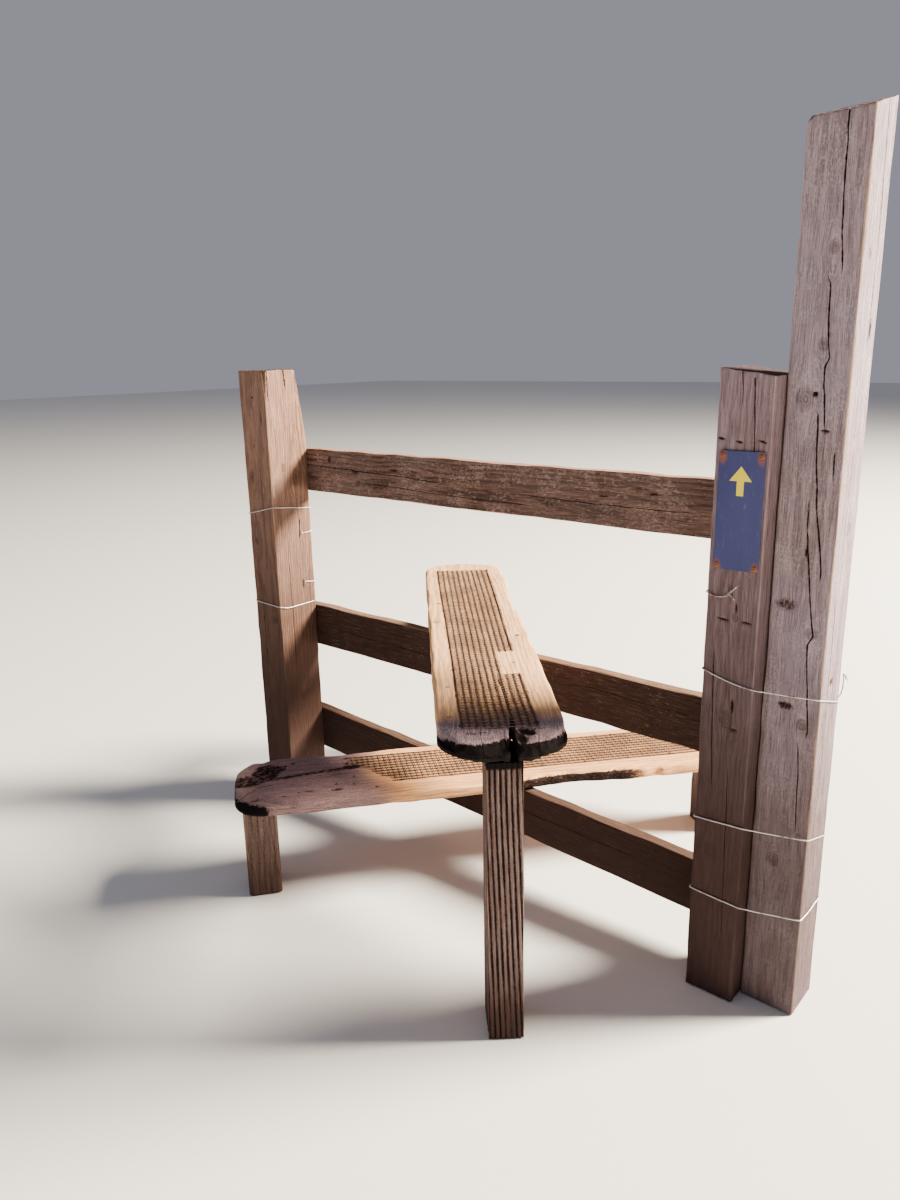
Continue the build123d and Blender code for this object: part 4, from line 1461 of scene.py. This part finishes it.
def make_wire_rows_tree():
    """Parallel wires along X, row by row along Y, each a little bent and uneven in length."""
    inputs = {
        "Geometry": GEOMETRY, "Rows": 11, "Pitch": 0.0127, "Start": 0.0, "Length": 1.0, "Wire": 0.0013,
        "Ragged": 0.0, "Bend": 0.0008, "Segment": 0.006, "Hole Low": VECTOR, "Hole High": VECTOR,
        "Cut Slope": VECTOR, "Cut Level": -1.0, "Seed": 0, "Material": MATERIAL,
    }
    g, values = open_tree("Wire Rows", inputs, ("Geometry",), GEOMETRY_TREE)
    _, rows, pitch, start, length, wire, ragged, bend, segment = values[:9]
    hole_low, hole_high, cut_slope, cut_level, seed, material = values[9:]

    def vector(x=0.0, y=0.0, z=0.0):
        return g.add("ShaderNodeCombineXYZ", {0: x, 1: y, 2: z})[0]

    def vectors(operation, a, b, output=0):
        return g.add("ShaderNodeVectorMath", {0: a, 1: b}, operation=operation)[output]

    def line(count, step):
        return g.add("GeometryNodeMeshLine", {"Count": count, "Offset": step}, mode="OFFSET")[0]

    def less(a, b):
        return g.add("FunctionNodeCompare", {"A": a, "B": b}, data_type="FLOAT", operation="LESS_THAN")[0]

    def both(operation, a, b):
        return g.add("FunctionNodeBooleanMath", {0: a, 1: b}, operation=operation)[0]

    one = line(g.math("FLOOR", length / segment) + 1.0, vector(segment))
    one = g.add("GeometryNodeTransform", {"Geometry": one, "Translation": vector(start)})[0]
    placed = g.add("GeometryNodeInstanceOnPoints", {"Points": line(rows, vector(0.0, pitch)), "Instance": one})[0]
    real = g.add("GeometryNodeRealizeInstances", {"Geometry": placed})[0]

    # What is missing: the uneven starts, the hole, and what lies beyond the torn cut
    place = g.add("GeometryNodeInputPosition")[0]
    x, y, _ = g.parts(place)
    row = g.math("ROUND", y / pitch)
    uneven = g.add("FunctionNodeRandomValue", {"ID": row, "Seed": seed}, data_type="FLOAT")[1]
    low, high = g.parts(hole_low), g.parts(hole_high)
    hole = both("AND", less(low[0], x), less(x, high[0]))
    hole = both("AND", both("AND", hole, less(low[1], y)), less(y, high[1]))
    gone = both("OR", hole, less(x, start + uneven * ragged))
    torn = g.add("ShaderNodeTexNoise", {"Vector": place, "Scale": 38.0, "Detail": 1.0})["Fac"]
    sloped = vectors("DOT_PRODUCT", place, cut_slope, "Value") + (torn - 0.5) * 0.07
    gone = both("OR", gone, less(sloped, cut_level))
    kept = g.add("GeometryNodeDeleteGeometry", {"Geometry": real, "Selection": gone}, domain="POINT")[0]

    # The bends, and a round section along each wire
    sample = vectors("ADD", vectors("MULTIPLY", place, (45.0, 130.0, 1.0)), vector(0.0, 0.0, seed))
    wobble = g.add("ShaderNodeTexNoise", {"Vector": sample, "Scale": 1.0, "Detail": 1.0})["Color"]
    offset = vectors("MULTIPLY", vectors("SUBTRACT", wobble, (0.5, 0.5, 0.5)), vector(0.0, bend * 4.0, bend))
    bent = g.add("GeometryNodeSetPosition", {"Geometry": kept, "Offset": offset})[0]
    curves = g.add("GeometryNodeMeshToCurve", {"Mesh": bent})[0]
    section = g.add("GeometryNodeCurvePrimitiveCircle", {"Resolution": 6, "Radius": wire * 0.5})[0]
    tubes = g.add("GeometryNodeCurveToMesh", {"Curve": curves, "Profile Curve": section, "Fill Caps": True})[0]
    return with_material(g, g.add("GeometryNodeSetShadeSmooth", {"Geometry": tubes})[0], material)


def make_copies_tree():
    """A copy of an object on each point, turned by the point's turn attribute."""
    inputs = {"Geometry": GEOMETRY, "Copy": OBJECT, "Material": MATERIAL}
    g, (points, copy, material) = open_tree("Copies On Points", inputs, ("Geometry",), GEOMETRY_TREE)
    turn = g.add("GeometryNodeInputNamedAttribute", {"Name": "turn"}, data_type="FLOAT_VECTOR")[0]
    shape = g.add("GeometryNodeObjectInfo", {"Object": copy})["Geometry"]
    placed = g.add("GeometryNodeInstanceOnPoints", {"Points": points, "Instance": shape, "Rotation": turn})[0]
    return with_material(g, placed, material)


def grown(name, tree, values, source=None):
    """A plain mesh object made by a geometry tree with these input values."""
    host = new_object(name + "_host", source or bpy.data.meshes.new(name + "_points"))
    modifier = host.modifiers.new("grow", "NODES")
    modifier.node_group = tree
    for item in tree.interface.items_tree:
        if item.in_out == "INPUT" and item.name in values:
            modifier[item.identifier] = values[item.name]
    evaluated = host.evaluated_get(bpy.context.evaluated_depsgraph_get())
    data = bpy.data.meshes.new_from_object(evaluated)
    data.name = name
    host.modifiers.remove(modifier)
    bpy.data.objects.remove(host)
    return new_object(name, data)


# Wire mesh on the treads


def mesh_layout(name, settings):
    """Where the mesh lies on a tread, along it and across it from its middle."""
    pitch = settings.pitch / MM
    half = (settings.strands - 1) * pitch / 2
    if name == "upper_tread":
        places = {"offset": 3.0, "near": 71.0, "far": 1212.0, "hole": (333.0, 468.0), "slant": 0.0, "fan": 0.10}
    else:
        places = {"offset": 15.0, "near": 254.0, "far": 1175.0, "hole": (0.0, -1.0), "slant": 0.84, "fan": 0.0}
    places["rows"] = [places["offset"] - half + i * pitch for i in range(settings.strands)]
    return places


def fanned(layout, x, y):
    """A place across the tread, moved out where the strands drift apart."""
    middle = TREAD_WIDTH / 2 + layout["offset"]
    return middle + (y - middle) * (1 + layout["fan"] * smooth(x, *FAN_REACH))


def settle(piece, name, layout):
    """Lays a flat mesh, made along X, on the worn top of its tread."""
    tread, design = TREADS[name]
    timber = design()
    axes, origin = tread_axes(tread)
    data = piece.data
    points = np.zeros(len(data.vertices) * 3)
    data.vertices.foreach_get("co", points)
    points = points.reshape(-1, 3) / MM
    points[:, 1] = fanned(layout, points[:, 0], points[:, 1])
    wear = timber.top_wear(points[:, 0], points[:, 1])
    hollows = timber.hollows(np.stack([points[:, 0], points[:, 1], 0 * wear + tread["thick"]], -1))
    points[:, 2] -= np.clip(wear + hollows, 0, DEEPEST_WEAR) - MESH_LIFT
    data.vertices.foreach_set("co", ((points @ axes + origin) * MM).ravel())
    data.update()


class STILE_OT_wire_mesh(bpy.types.Operator):
    """Lay the welded wire mesh on both treads"""

    bl_idname = "stile.wire_mesh"
    bl_label = "Wire mesh"

    def execute(self, context):
        s = context.scene.stile_mesh
        tree = group_once("Wire Rows", make_wire_rows_tree)
        strand_steel = steel_material("mesh_strand_steel", s.clean, s.rust, 0.75)
        # The cross wires take a lighter copy of the strands' steel: painted light
        cross_steel = steel_material("mesh_cross_steel", s.cross_clean, s.cross_rust, 0.55)
        pitch, wire = s.pitch / MM, s.wire / MM
        for name, (tread, _) in TREADS.items():
            layout = mesh_layout(name, s)
            short, slant = name.split("_")[0], layout["slant"]
            first_row = TREAD_WIDTH / 2 + layout["rows"][0]
            span = layout["rows"][-1] - layout["rows"][0]
            near, far = layout["near"], layout["far"]
            hole_near, hole_far = layout["hole"]
            strands = grown(short + "_mesh_strands_wire", tree, {
                "Rows": s.strands, "Pitch": s.pitch, "Start": near * MM, "Length": (far - near) * MM,
                "Wire": s.wire * 1.15, "Ragged": 0.012, "Bend": 0.0006, "Segment": 0.0063,
                "Hole Low": (hole_near * MM, -4 * MM, -1), "Hole High": (hole_far * MM, 2.5 * s.pitch, 1),
                "Cut Slope": (1.0, slant, 0.0), "Cut Level": (near + slant * span) * MM if slant else NO_CUT,
                "Seed": s.seed, "Material": strand_steel,
            })
            strands.data.transform(Matrix.Translation((0, first_row * MM, (tread["thick"] + wire / 2) * MM)))
            crosses = grown(short + "_mesh_cross_wire", tree, {
                "Rows": int((far - near) / pitch) + 1, "Pitch": s.pitch, "Start": -0.002, "Length": (span + 4) * MM,
                "Wire": s.wire, "Ragged": 0.0035, "Bend": 0.0005, "Segment": 0.00635,
                "Hole Low": (-4 * MM, (hole_near - near) * MM, -1),
                "Hole High": (2.5 * s.pitch, (hole_far - near) * MM, 1),
                "Cut Slope": (slant, 1.0, 0.0), "Cut Level": slant * span * MM if slant else NO_CUT,
                "Seed": s.seed + 3, "Material": cross_steel,
            })
            above = (tread["thick"] + 1.5 * wire) * MM
            swap = Matrix(((0, 1, 0, near * MM), (1, 0, 0, first_row * MM), (0, 0, 1, above), (0, 0, 0, 1)))
            crosses.data.transform(swap)
            crosses.data.flip_normals()
            for piece, node in ((strands, "_mesh_strands"), (crosses, "_mesh_cross_wires")):
                settle(piece, name, layout)
                finish_piece(piece, "mesh_wire", short + node)
        return {"FINISHED"}


# Small steel pieces


def dome(radius, height, sides, slot):
    """A domed head with a cross recess, standing on Z = 0."""
    rings = 7
    points, faces = [(0.0, 0.0, height)], []
    for ring in range(1, rings + 1):
        share = ring / rings
        for side in range(sides):
            turn = 2 * math.pi * side / sides
            x, y = share * radius * math.cos(turn), share * radius * math.sin(turn)
            points.append((x, y, height * math.sqrt(max(0.0, 1 - share**2.6))))
    points = np.array(points)
    x, y = abs(points[:, 0]), abs(points[:, 1])
    points[(np.minimum(x, y) < slot) & (np.hypot(x, y) < radius * 0.62), 2] -= height * 0.5
    for side in range(sides):
        after = (side + 1) % sides
        faces.append((0, 1 + side, 1 + after))
        for ring in range(rings - 1):
            a, b = 1 + ring * sides, 1 + (ring + 1) * sides
            faces.append((a + side, b + side, b + after, a + after))
    last = 1 + (rings - 1) * sides
    faces.append(tuple(last + side for side in range(sides))[::-1])
    return points, faces


def staple(width, leg_long, wire):
    """A U of square wire, its crown above Z = 0 and its legs in the wood."""
    half = width / 2
    rise = ((half, -leg_long), (half, wire * 0.5), (half * 0.55, wire * 1.25))
    route = [(-x, 0, z) for x, z in rise] + [(x, 0, z) for x, z in rise[::-1]]
    return tube_mesh([np.array(route, float)], wire / 2, 6)


def tube_mesh(routes, radius, sides):
    """Points and faces of round tubes with closed ends along polylines."""
    points, faces = [], []
    for route in routes:
        start = len(points)
        along = np.gradient(route, axis=0)
        along /= np.linalg.norm(along, axis=1)[:, None]
        side = np.cross(along[0], (0.123, 0.456, 0.9))
        for place, ahead in zip(route, along):
            side = side - ahead * np.dot(side, ahead)
            side /= np.linalg.norm(side)
            other = np.cross(ahead, side)
            for turn in np.arange(sides) * 2 * math.pi / sides:
                points.append(place + radius * (math.cos(turn) * side + math.sin(turn) * other))
        last = start + (len(route) - 1) * sides
        for a in range(start, last, sides):
            for k in range(sides):
                after = (k + 1) % sides
                faces.append((a + k, a + after, a + sides + after, a + sides + k))
        faces.append(tuple(start + k for k in range(sides))[::-1])
        faces.append(tuple(last + k for k in range(sides)))
    return np.array(points), faces


def softened(route, rounds=3):
    """A route with its corners cut, round after round, its ends kept."""
    route = np.array(route, float)
    for _ in range(rounds):
        a = 0.75 * route[:-1] + 0.25 * route[1:]
        b = 0.25 * route[:-1] + 0.75 * route[1:]
        route = np.concatenate([route[:1], np.stack([a, b], 1).reshape(-1, 3), route[-1:]])
    return route


def copies(name, shape, places, material):
    """Copies of a small shape at (place, turn) pairs, made by the copies tree."""
    points, faces = shape
    pattern = mesh_object(name + "_pattern", points, faces, material)
    source = bpy.data.meshes.new(name + "_points")
    source.from_pydata([tuple(np.array(place) * MM) for place, turn in places], [], [])
    turns = source.attributes.new("turn", "FLOAT_VECTOR", "POINT")
    turns.data.foreach_set("vector", np.array([turn for place, turn in places], np.float32).ravel())
    tree = group_once("Copies On Points", make_copies_tree)
    piece = grown(name, tree, {"Copy": pattern, "Material": material}, source)
    bpy.data.objects.remove(pattern)
    return piece


class STILE_OT_fixings(bpy.types.Operator):
    """Drive the rail nails and the mesh staples"""

    bl_idname = "stile.fixings"
    bl_label = "Nails and staples"

    def execute(self, context):
        s = context.scene.stile_mesh
        rust = steel_material("fixing_steel", (0.16, 0.13, 0.12), s.rust, 0.8)
        rail_back = RAIL_HIGH[1] - 2.2
        inward = (-math.pi / 2, 0.0, 0.0)
        rows = []
        for rail in RAILS.values():
            slope = math.tan(math.radians(rail["fall"]))
            for x in (LEFT_LOW[0] + 38, LEFT_LOW[0] + 66, RIGHT_LOW[0] + 30, RIGHT_LOW[0] + 60):
                for share in (0.25, 0.74):
                    stagger = 7.0 * math.sin(x + rail["top"])
                    z = rail["top"] - rail["height"] * share + stagger - slope * (x - OPENING_X)
                    rows.append(((x, rail_back, z), inward))
        finish_piece(copies("rail_nails", dome(4.6, 1.6, 14, 0.0), rows, rust), "sign_screw")
        places = []
        for name, (tread, design) in TREADS.items():
            layout = mesh_layout(name, s)
            timber = design()
            axes, origin = tread_axes(tread)
            turn = math.radians(tread["angle"])
            length = layout["far"] - layout["near"]
            for i in range(9):
                for row in (0, len(layout["rows"]) - 1):
                    x = layout["near"] + 14 + (length - 30) * i / 8 + 5 * math.sin(7 * i + row)
                    if row == 0 and layout["hole"][0] - 10 < x < layout["hole"][1] + 10:
                        continue
                    y = float(fanned(layout, x, TREAD_WIDTH / 2 + layout["rows"][row]))
                    wear = float(timber.top_wear(np.array([x]), np.array([y]))[0]) + 0.7
                    local = np.array([x, y, tread["thick"] - min(wear, DEEPEST_WEAR) + 1.4])
                    places.append((local @ axes + origin, (0.0, 0.0, turn + math.pi / 2 + 0.3 * math.sin(5 * i))))
        finish_piece(copies("mesh_staples", staple(8.0, 7.0, 1.5), places, rust), "mesh_wire")
        return {"FINISHED"}


# Fence wires


def kinked(route, seed, amount=0.4):
    """A softened route with the slight kinks of hand-bent wire."""
    route = softened(route)
    shift = np.stack([noise(route / 17.0, seed + n) - 0.5 for n in range(3)], -1)
    ends = np.minimum(np.arange(len(route)), np.arange(len(route))[::-1])[:, None]
    return route + 2 * amount * shift * np.clip(ends / 4, 0, 1)


def twisted(start, end, turns, radius):
    """A helix between two points, as where wire is twisted round wire."""
    start, end = np.array(start, float), np.array(end, float)
    along = end - start
    side = np.cross(along, (0.3, 0.2, 0.9))
    side /= np.linalg.norm(side)
    other = np.cross(along / np.linalg.norm(along), side)
    share = np.linspace(0, 1, int(turns * 10))
    angle = 2 * math.pi * turns * share
    return start + share[:, None] * along + radius * (np.cos(angle)[:, None] * side + np.sin(angle)[:, None] * other)


def post_ring(corners, heights, gap):
    """Points round the posts: two at each corner, so that the wire bends there."""
    places = [np.array([*corner, height], float) for corner, height in zip(corners, heights)]
    route = []
    for i, here in enumerate(places):
        for there in (places[i - 1], places[(i + 1) % len(places)]):
            route.append(here + (there - here) / np.linalg.norm(there - here) * gap)
    return route


def wire_piece(name, routes, radius, material, *nodes):
    points, faces = tube_mesh(routes, radius, 8)
    return finish_piece(mesh_object(name, points, faces, material), "fence_wire", *nodes)


class STILE_OT_fence_wires(bpy.types.Operator):
    """Bind the fence wires round the posts"""

    bl_idname = "stile.fence_wires"
    bl_label = "Fence wires"

    def execute(self, context):
        s = context.scene.stile_wire
        material = steel_material("fence_wire_steel", s.clean, s.rust, 0.38)
        radius = s.diameter / MM / 2
        off = radius - 0.4
        # The corners of each wire's round, just outside the posts
        (left_x, left_y, _), (right_x, right_y, _) = LEFT_LOW - off, RIGHT_LOW - off
        (left_end, left_back, _), (right_end, right_back, _), (hand_end, hand_back, _) = (
            LEFT_HIGH + off, RIGHT_HIGH + off, HAND_HIGH + off
        )
        left = [(left_x, left_y), (left_end, left_y), (left_end, left_back), (left_x, left_back)]
        right = [(right_x, right_y), (right_end, right_y), (hand_end, HAND_LOW[1] - off), (hand_end, hand_back),
                 (RIGHT_HIGH[0] - off, hand_back), (right_x, right_back)]
        bound = {
            "left_post_wire_upper": (left, (796, 821, 804, 792)),
            "left_post_wire_lower": (left, (563, 559, 553, 556)),
            "right_posts_wire_upper": (right, (647, 627, 620, 588, 604, 634)),
            "right_posts_wire_middle": (right, (360, 366, 361, 330, 338, 352)),
            "right_posts_wire_lower": (right, (212, 207, 201, 203, 205, 208)),
        }
        # Where a wire bows out between two corners: its number on the way, and the place
        bows = {
            "left_post_wire_lower": (5, (left_end + 1.5, LEFT_LOW[1] + 30, 551.0)),
            "right_posts_wire_upper": (3, (RIGHT_LOW[0] + 55, right_y - 0.5, 631.0)),
        }
        for i, (name, (corners, heights)) in enumerate(bound.items()):
            ring = post_ring(corners, heights, 3.0)
            closing = (ring[0] + ring[-1]) / 2
            route = [closing + (ring[0] - closing) * 0.02, *ring, closing - (closing - ring[-1]) * 0.02]
            if name in bows:
                number, place = bows[name]
                route.insert(number, np.array(place))
            back, at = (hand_back, HAND_HIGH[0] - 30) if corners is right else (left_back, LEFT_LOW[0] + 40)
            back, level = back + radius, heights[3]
            routes = [kinked(route, 60 + i), twisted((at, back, level), (at + 24, back, level + 1), 4, radius * 0.9)]
            if name == "right_posts_wire_upper":
                # A loose tail: how far it is in from the hand post's side, behind it and up
                tail = ((8, 0, 1), (1, 12, 10), (2, 20, 38), (6, 26, 44), (3, 36, 30))
                routes.append(kinked([(HAND_HIGH[0] - x, back + y, level + z) for x, y, z in tail], 71))
                x = HAND_HIGH[0] - 4
                routes.append(twisted((x, back + 24, level + 44), (x, back + 44, level + 26), 3, radius))
            wire_piece(name + "_wire", routes, radius, material, name)
        stubs = []
        for level, across, low in ((741, 85, 0.0), (610, 85, -6.0)):
            place = np.array([LEFT_HIGH[0] + radius, LEFT_LOW[1] + across, level])
            lead = [(0, 38, low + 3), (0.5, 22, low * 0.5 + 1), (0, 5, 0)]
            hook = [(-6, -3, -4), (1.5, -2, -4), (2.4, 1, 1), (1.5, 2, 6), (-6, 2, 6)]
            stubs.append(kinked([place + step for step in lead], 81))
            stubs.append(kinked([place + step for step in hook], 82, 0.1))
            stubs.append(twisted(place + (0.5, 3, 0.5), place + (0.5, 14, 1), 3, radius * 0.9))
        wire_piece("left_post_wire_stubs", stubs, radius * 0.8, material)
        return {"FINISHED"}


class STILE_OT_tie_wire(bpy.types.Operator):
    """Hang the short tie wire under the sign plate"""

    bl_idname = "stile.tie_wire"
    bl_label = "Tie wire"

    def execute(self, context):
        s = context.scene.stile_wire
        material = steel_material("tie_wire_steel", s.clean, s.rust, 0.5)
        radius = s.diameter / MM / 2
        off = radius + 0.15
        corner = np.array([RIGHT_LOW[0], RIGHT_LOW[1] - off, 0])
        route = [(-off, 60, 788), (-off, 4, 786), (2, 0, 785), (12, 0, 781), (24, 0, 780), (36, 0, 783),
                 (44, -1, 791), (60, -2, 808)]
        loop = [(38, -1, 798), (40, -3.5, 792), (45, -3.6, 787), (49, -1, 782), (52, 0, 779)]
        routes = [
            kinked([corner + place for place in route], 91), kinked([corner + place for place in loop], 92, 0.2),
            twisted(corner + (38, -1, 785), corner + (46, -1, 794), 3, radius),
        ]
        wire_piece("tie_wire_bent", routes, radius * 0.9, material, "tie_wire")
        return {"FINISHED"}


# Sign plate


def screw_corners():
    """Where the sign plate's screws are, as X and Z."""
    across, up = (PLATE_LOW[0] + 6.5, PLATE_HIGH[0] - 6.5), (PLATE_LOW[2] + 7, PLATE_HIGH[2] - 7)
    return [(x, z) for x in across for z in up]


def rounded_outline(width, height, radius, steps):
    """Points of a rounded rectangle, anticlockwise from the lower right corner."""
    points = []
    for corner, (sx, sz) in enumerate(((1, -1), (1, 1), (-1, 1), (-1, -1))):
        for step in range(steps + 1):
            turn = math.pi / 2 * (corner - 1 + step / steps)
            x = sx * (width / 2 - radius) + radius * math.cos(turn)
            points.append((x, sz * (height / 2 - radius) + radius * math.sin(turn)))
    return points


def slab(name, outline, y_back, y_front, centre, material):
    """A flat plate of this outline between two planes across Y."""
    count = len(outline)
    points = [(centre[0] + x, y, centre[1] + z) for y in (y_front, y_back) for x, z in outline]
    faces = [tuple(range(count)), tuple(range(count, 2 * count))[::-1]]
    for i in range(count):
        after = (i + 1) % count
        faces.append((after, i, i + count, after + count))
    return mesh_object(name, points, faces, material, False)


class STILE_OT_sign_plate(bpy.types.Operator):
    """Build the sign plate with its plain arrow"""

    bl_idname = "stile.sign_plate"
    bl_label = "Sign plate"

    def execute(self, context):
        s = context.scene.stile_sign
        width, _, height = PLATE_HIGH - PLATE_LOW
        centre = ((PLATE_LOW[0] + PLATE_HIGH[0]) / 2, (PLATE_LOW[2] + PLATE_HIGH[2]) / 2)
        material, g = new_material("plate_paint")
        place = g.place()
        fade = g.noise(g.scaled(place, 12, 12, 5), 1.0, 4.0, 0.6)
        dust = g.noise(g.scaled(place, 160, 160, 40), 1.0, 3.0, 0.7)
        faded = (s.plate[0] * 1.5, s.plate[1] * 1.45, s.plate[2] * 1.3, 1)
        colour = g.mix(g.span(fade, 0.3, 0.7, 0.0, 0.5), (*s.plate, 1), faded)
        colour = g.mix(g.span(dust, 0.56, 0.75, 0.0, 0.3), colour, (0.22, 0.2, 0.2, 1))
        for x, z in screw_corners():
            # Rust that has run down from the screw
            local = g.add("ShaderNodeMapping", {"Vector": place, "Location": (-x * MM, 0, -(z - 3) * MM)})[0]
            away = g.add("ShaderNodeVectorMath", {0: g.scaled(local, 1.0, 0.0, 0.55)}, operation="LENGTH")["Value"]
            rusty = g.span(away + dust * 0.003, 0.0105, 0.0055, 0.0, 0.8)
            colour = g.mix(rusty, colour, (0.2, 0.075, 0.035, 1))
        inputs = {"Base Color": colour, "Roughness": g.span(dust, 0.3, 0.7, 0.42, 0.66), "Specular IOR Level": 0.25}
        shade(g, inputs, dust, 0.06)
        outline = rounded_outline(width, height, 6.0, 6)
        plate = slab("sign_plate_painted", outline, PLATE_HIGH[1], PLATE_LOW[1], centre, material)
        edge = plate.modifiers.new("edge", "BEVEL")
        edge.width, edge.segments, edge.limit_method = 0.5 * MM, 2, "ANGLE"
        finish_piece(plate, "sign_plate", "sign_plate")

        paint, g = new_material("arrow_paint")
        chips = g.noise(g.place(), 260.0, 4.0, 0.7)
        colour = g.mix(g.span(chips, 0.6, 0.72, 0.0, 0.6), (*s.arrow, 1), (0.42, 0.33, 0.03, 1))
        shade(g, {"Base Color": colour, "Roughness": g.span(chips, 0.3, 0.7, 0.4, 0.6)})
        outline = [(-6, -24), (6, -24), (6, 0), (19, 0), (0, 24), (-19, 0), (-6, 0)]
        arrow_centre = (centre[0], centre[1] + 50)
        arrow = slab("sign_arrow", outline, PLATE_LOW[1] + 0.3, PLATE_LOW[1] - 0.15, arrow_centre, paint)
        finish_piece(arrow, "sign_plate")
        return {"FINISHED"}


class STILE_OT_sign_screws(bpy.types.Operator):
    """Drive the four rusty screws of the sign plate"""

    bl_idname = "stile.sign_screws"
    bl_label = "Sign screws"

    def execute(self, context):
        s = context.scene.stile_sign
        material = steel_material("screw_steel", (0.3, 0.24, 0.2), s.rust, 0.75)
        outward = (math.pi / 2, 0.0, 0.0)
        places = [((x, PLATE_LOW[1] + 0.2, z), outward) for x, z in screw_corners()]
        shape = dome(s.head / MM / 2, 2.8, 24, 0.75)
        finish_piece(copies("sign_screw_heads", shape, places, material), "sign_screw", "sign_screws")
        return {"FINISHED"}


# Stage

CAMERA_AT = (1.1847, -1.5514, 1.187)
CAMERA_RIGHT = (0.75737, 0.65267, -0.02019)
CAMERA_DOWN = (0.15766, -0.21278, -0.9643)
CAMERA_AHEAD = (-0.63366, 0.72715, -0.26405)


def area_light(name, place, aim, size, power, tint):
    data = bpy.data.lights.new(name, "AREA")
    data.shape, data.size, data.energy, data.color = "DISK", size, power, tint
    lamp = new_object(name, data)
    lamp.location = place
    lamp.rotation_euler = (Vector(aim) - Vector(place)).to_track_quat("-Z", "Y").to_euler()
    return lamp


class STILE_OT_stage(bpy.types.Operator):
    """Set the floor, the light and the camera"""

    bl_idname = "stile.stage"
    bl_label = "Stage"

    def execute(self, context):
        s = context.scene.stile_stage
        material, g = new_material("floor_paint")
        tint = g.mix(g.noise(g.place(), 0.6), (*s.floor, 1), (*(c * 0.96 for c in s.floor), 1))
        shade(g, {"Base Color": tint, "Roughness": 0.85})
        side = 30000.0
        corners = [(-side, -side, -0.5), (side, -side, -0.5), (side, side, -0.5), (-side, side, -0.5)]
        mesh_object("floor", corners, [(0, 1, 2, 3)], material, False)
        world = bpy.data.worlds.new("surround")
        world.use_nodes = True
        background = world.node_tree.nodes["Background"].inputs
        background[0].default_value, background[1].default_value = (0.85, 0.86, 1.0, 1), s.sky
        context.scene.world = world
        area_light("key", (5.8, 5.8, 5.5), (0, 0, 0.5), 3.0, s.key, (1.0, 0.88, 0.70))
        area_light("fill", (-1.5, -3.4, 2.6), (0, 0, 0.6), 2.6, s.fill, (0.95, 0.96, 1.0))
        data = bpy.data.cameras.new("camera")
        data.sensor_width, data.lens = 36.0, s.lens
        camera = new_object("camera", data)
        right, down, ahead = Vector(CAMERA_RIGHT), Vector(CAMERA_DOWN), Vector(CAMERA_AHEAD)
        turn = Matrix((right, -down, -ahead)).transposed().to_4x4()
        camera.matrix_world = Matrix.Translation(CAMERA_AT) @ turn
        context.scene.camera = camera
        return {"FINISHED"}


class STILE_PT_panel(bpy.types.Panel):
    """Lists the steps that build the stile"""

    bl_idname = "STILE_PT_panel"
    bl_label = "Wooden Step Stile"
    bl_space_type = "VIEW_3D"
    bl_region_type = "UI"
    bl_category = "Stile"

    def draw(self, context):
        for step in STEPS:
            self.layout.operator(step.bl_idname)


STEPS = (
    STILE_OT_posts, STILE_OT_rails, STILE_OT_treads, STILE_OT_legs, STILE_OT_wire_mesh, STILE_OT_fixings,
    STILE_OT_fence_wires, STILE_OT_tie_wire, STILE_OT_sign_plate, STILE_OT_sign_screws, STILE_OT_stage,
)
SETTINGS = {
    "stile_timber": StileTimberSettings, "stile_mesh": StileMeshSettings, "stile_wire": StileWireSettings,
    "stile_sign": StileSignSettings, "stile_stage": StileStageSettings,
}


def register():
    for cls in (*SETTINGS.values(), *STEPS, STILE_PT_panel):
        bpy.utils.register_class(cls)
    for name, cls in SETTINGS.items():
        setattr(bpy.types.Scene, name, bpy.props.PointerProperty(type=cls))


def unregister():
    for name in SETTINGS:
        delattr(bpy.types.Scene, name)
    for cls in reversed((*SETTINGS.values(), *STEPS, STILE_PT_panel)):
        bpy.utils.unregister_class(cls)


def main():
    """Builds every piece in order."""
    register()
    for step in STEPS:
        group, name = step.bl_idname.split(".")
        getattr(getattr(bpy.ops, group), name)()
    bpy.context.view_layer.update()


if __name__ == "__main__":
    main()
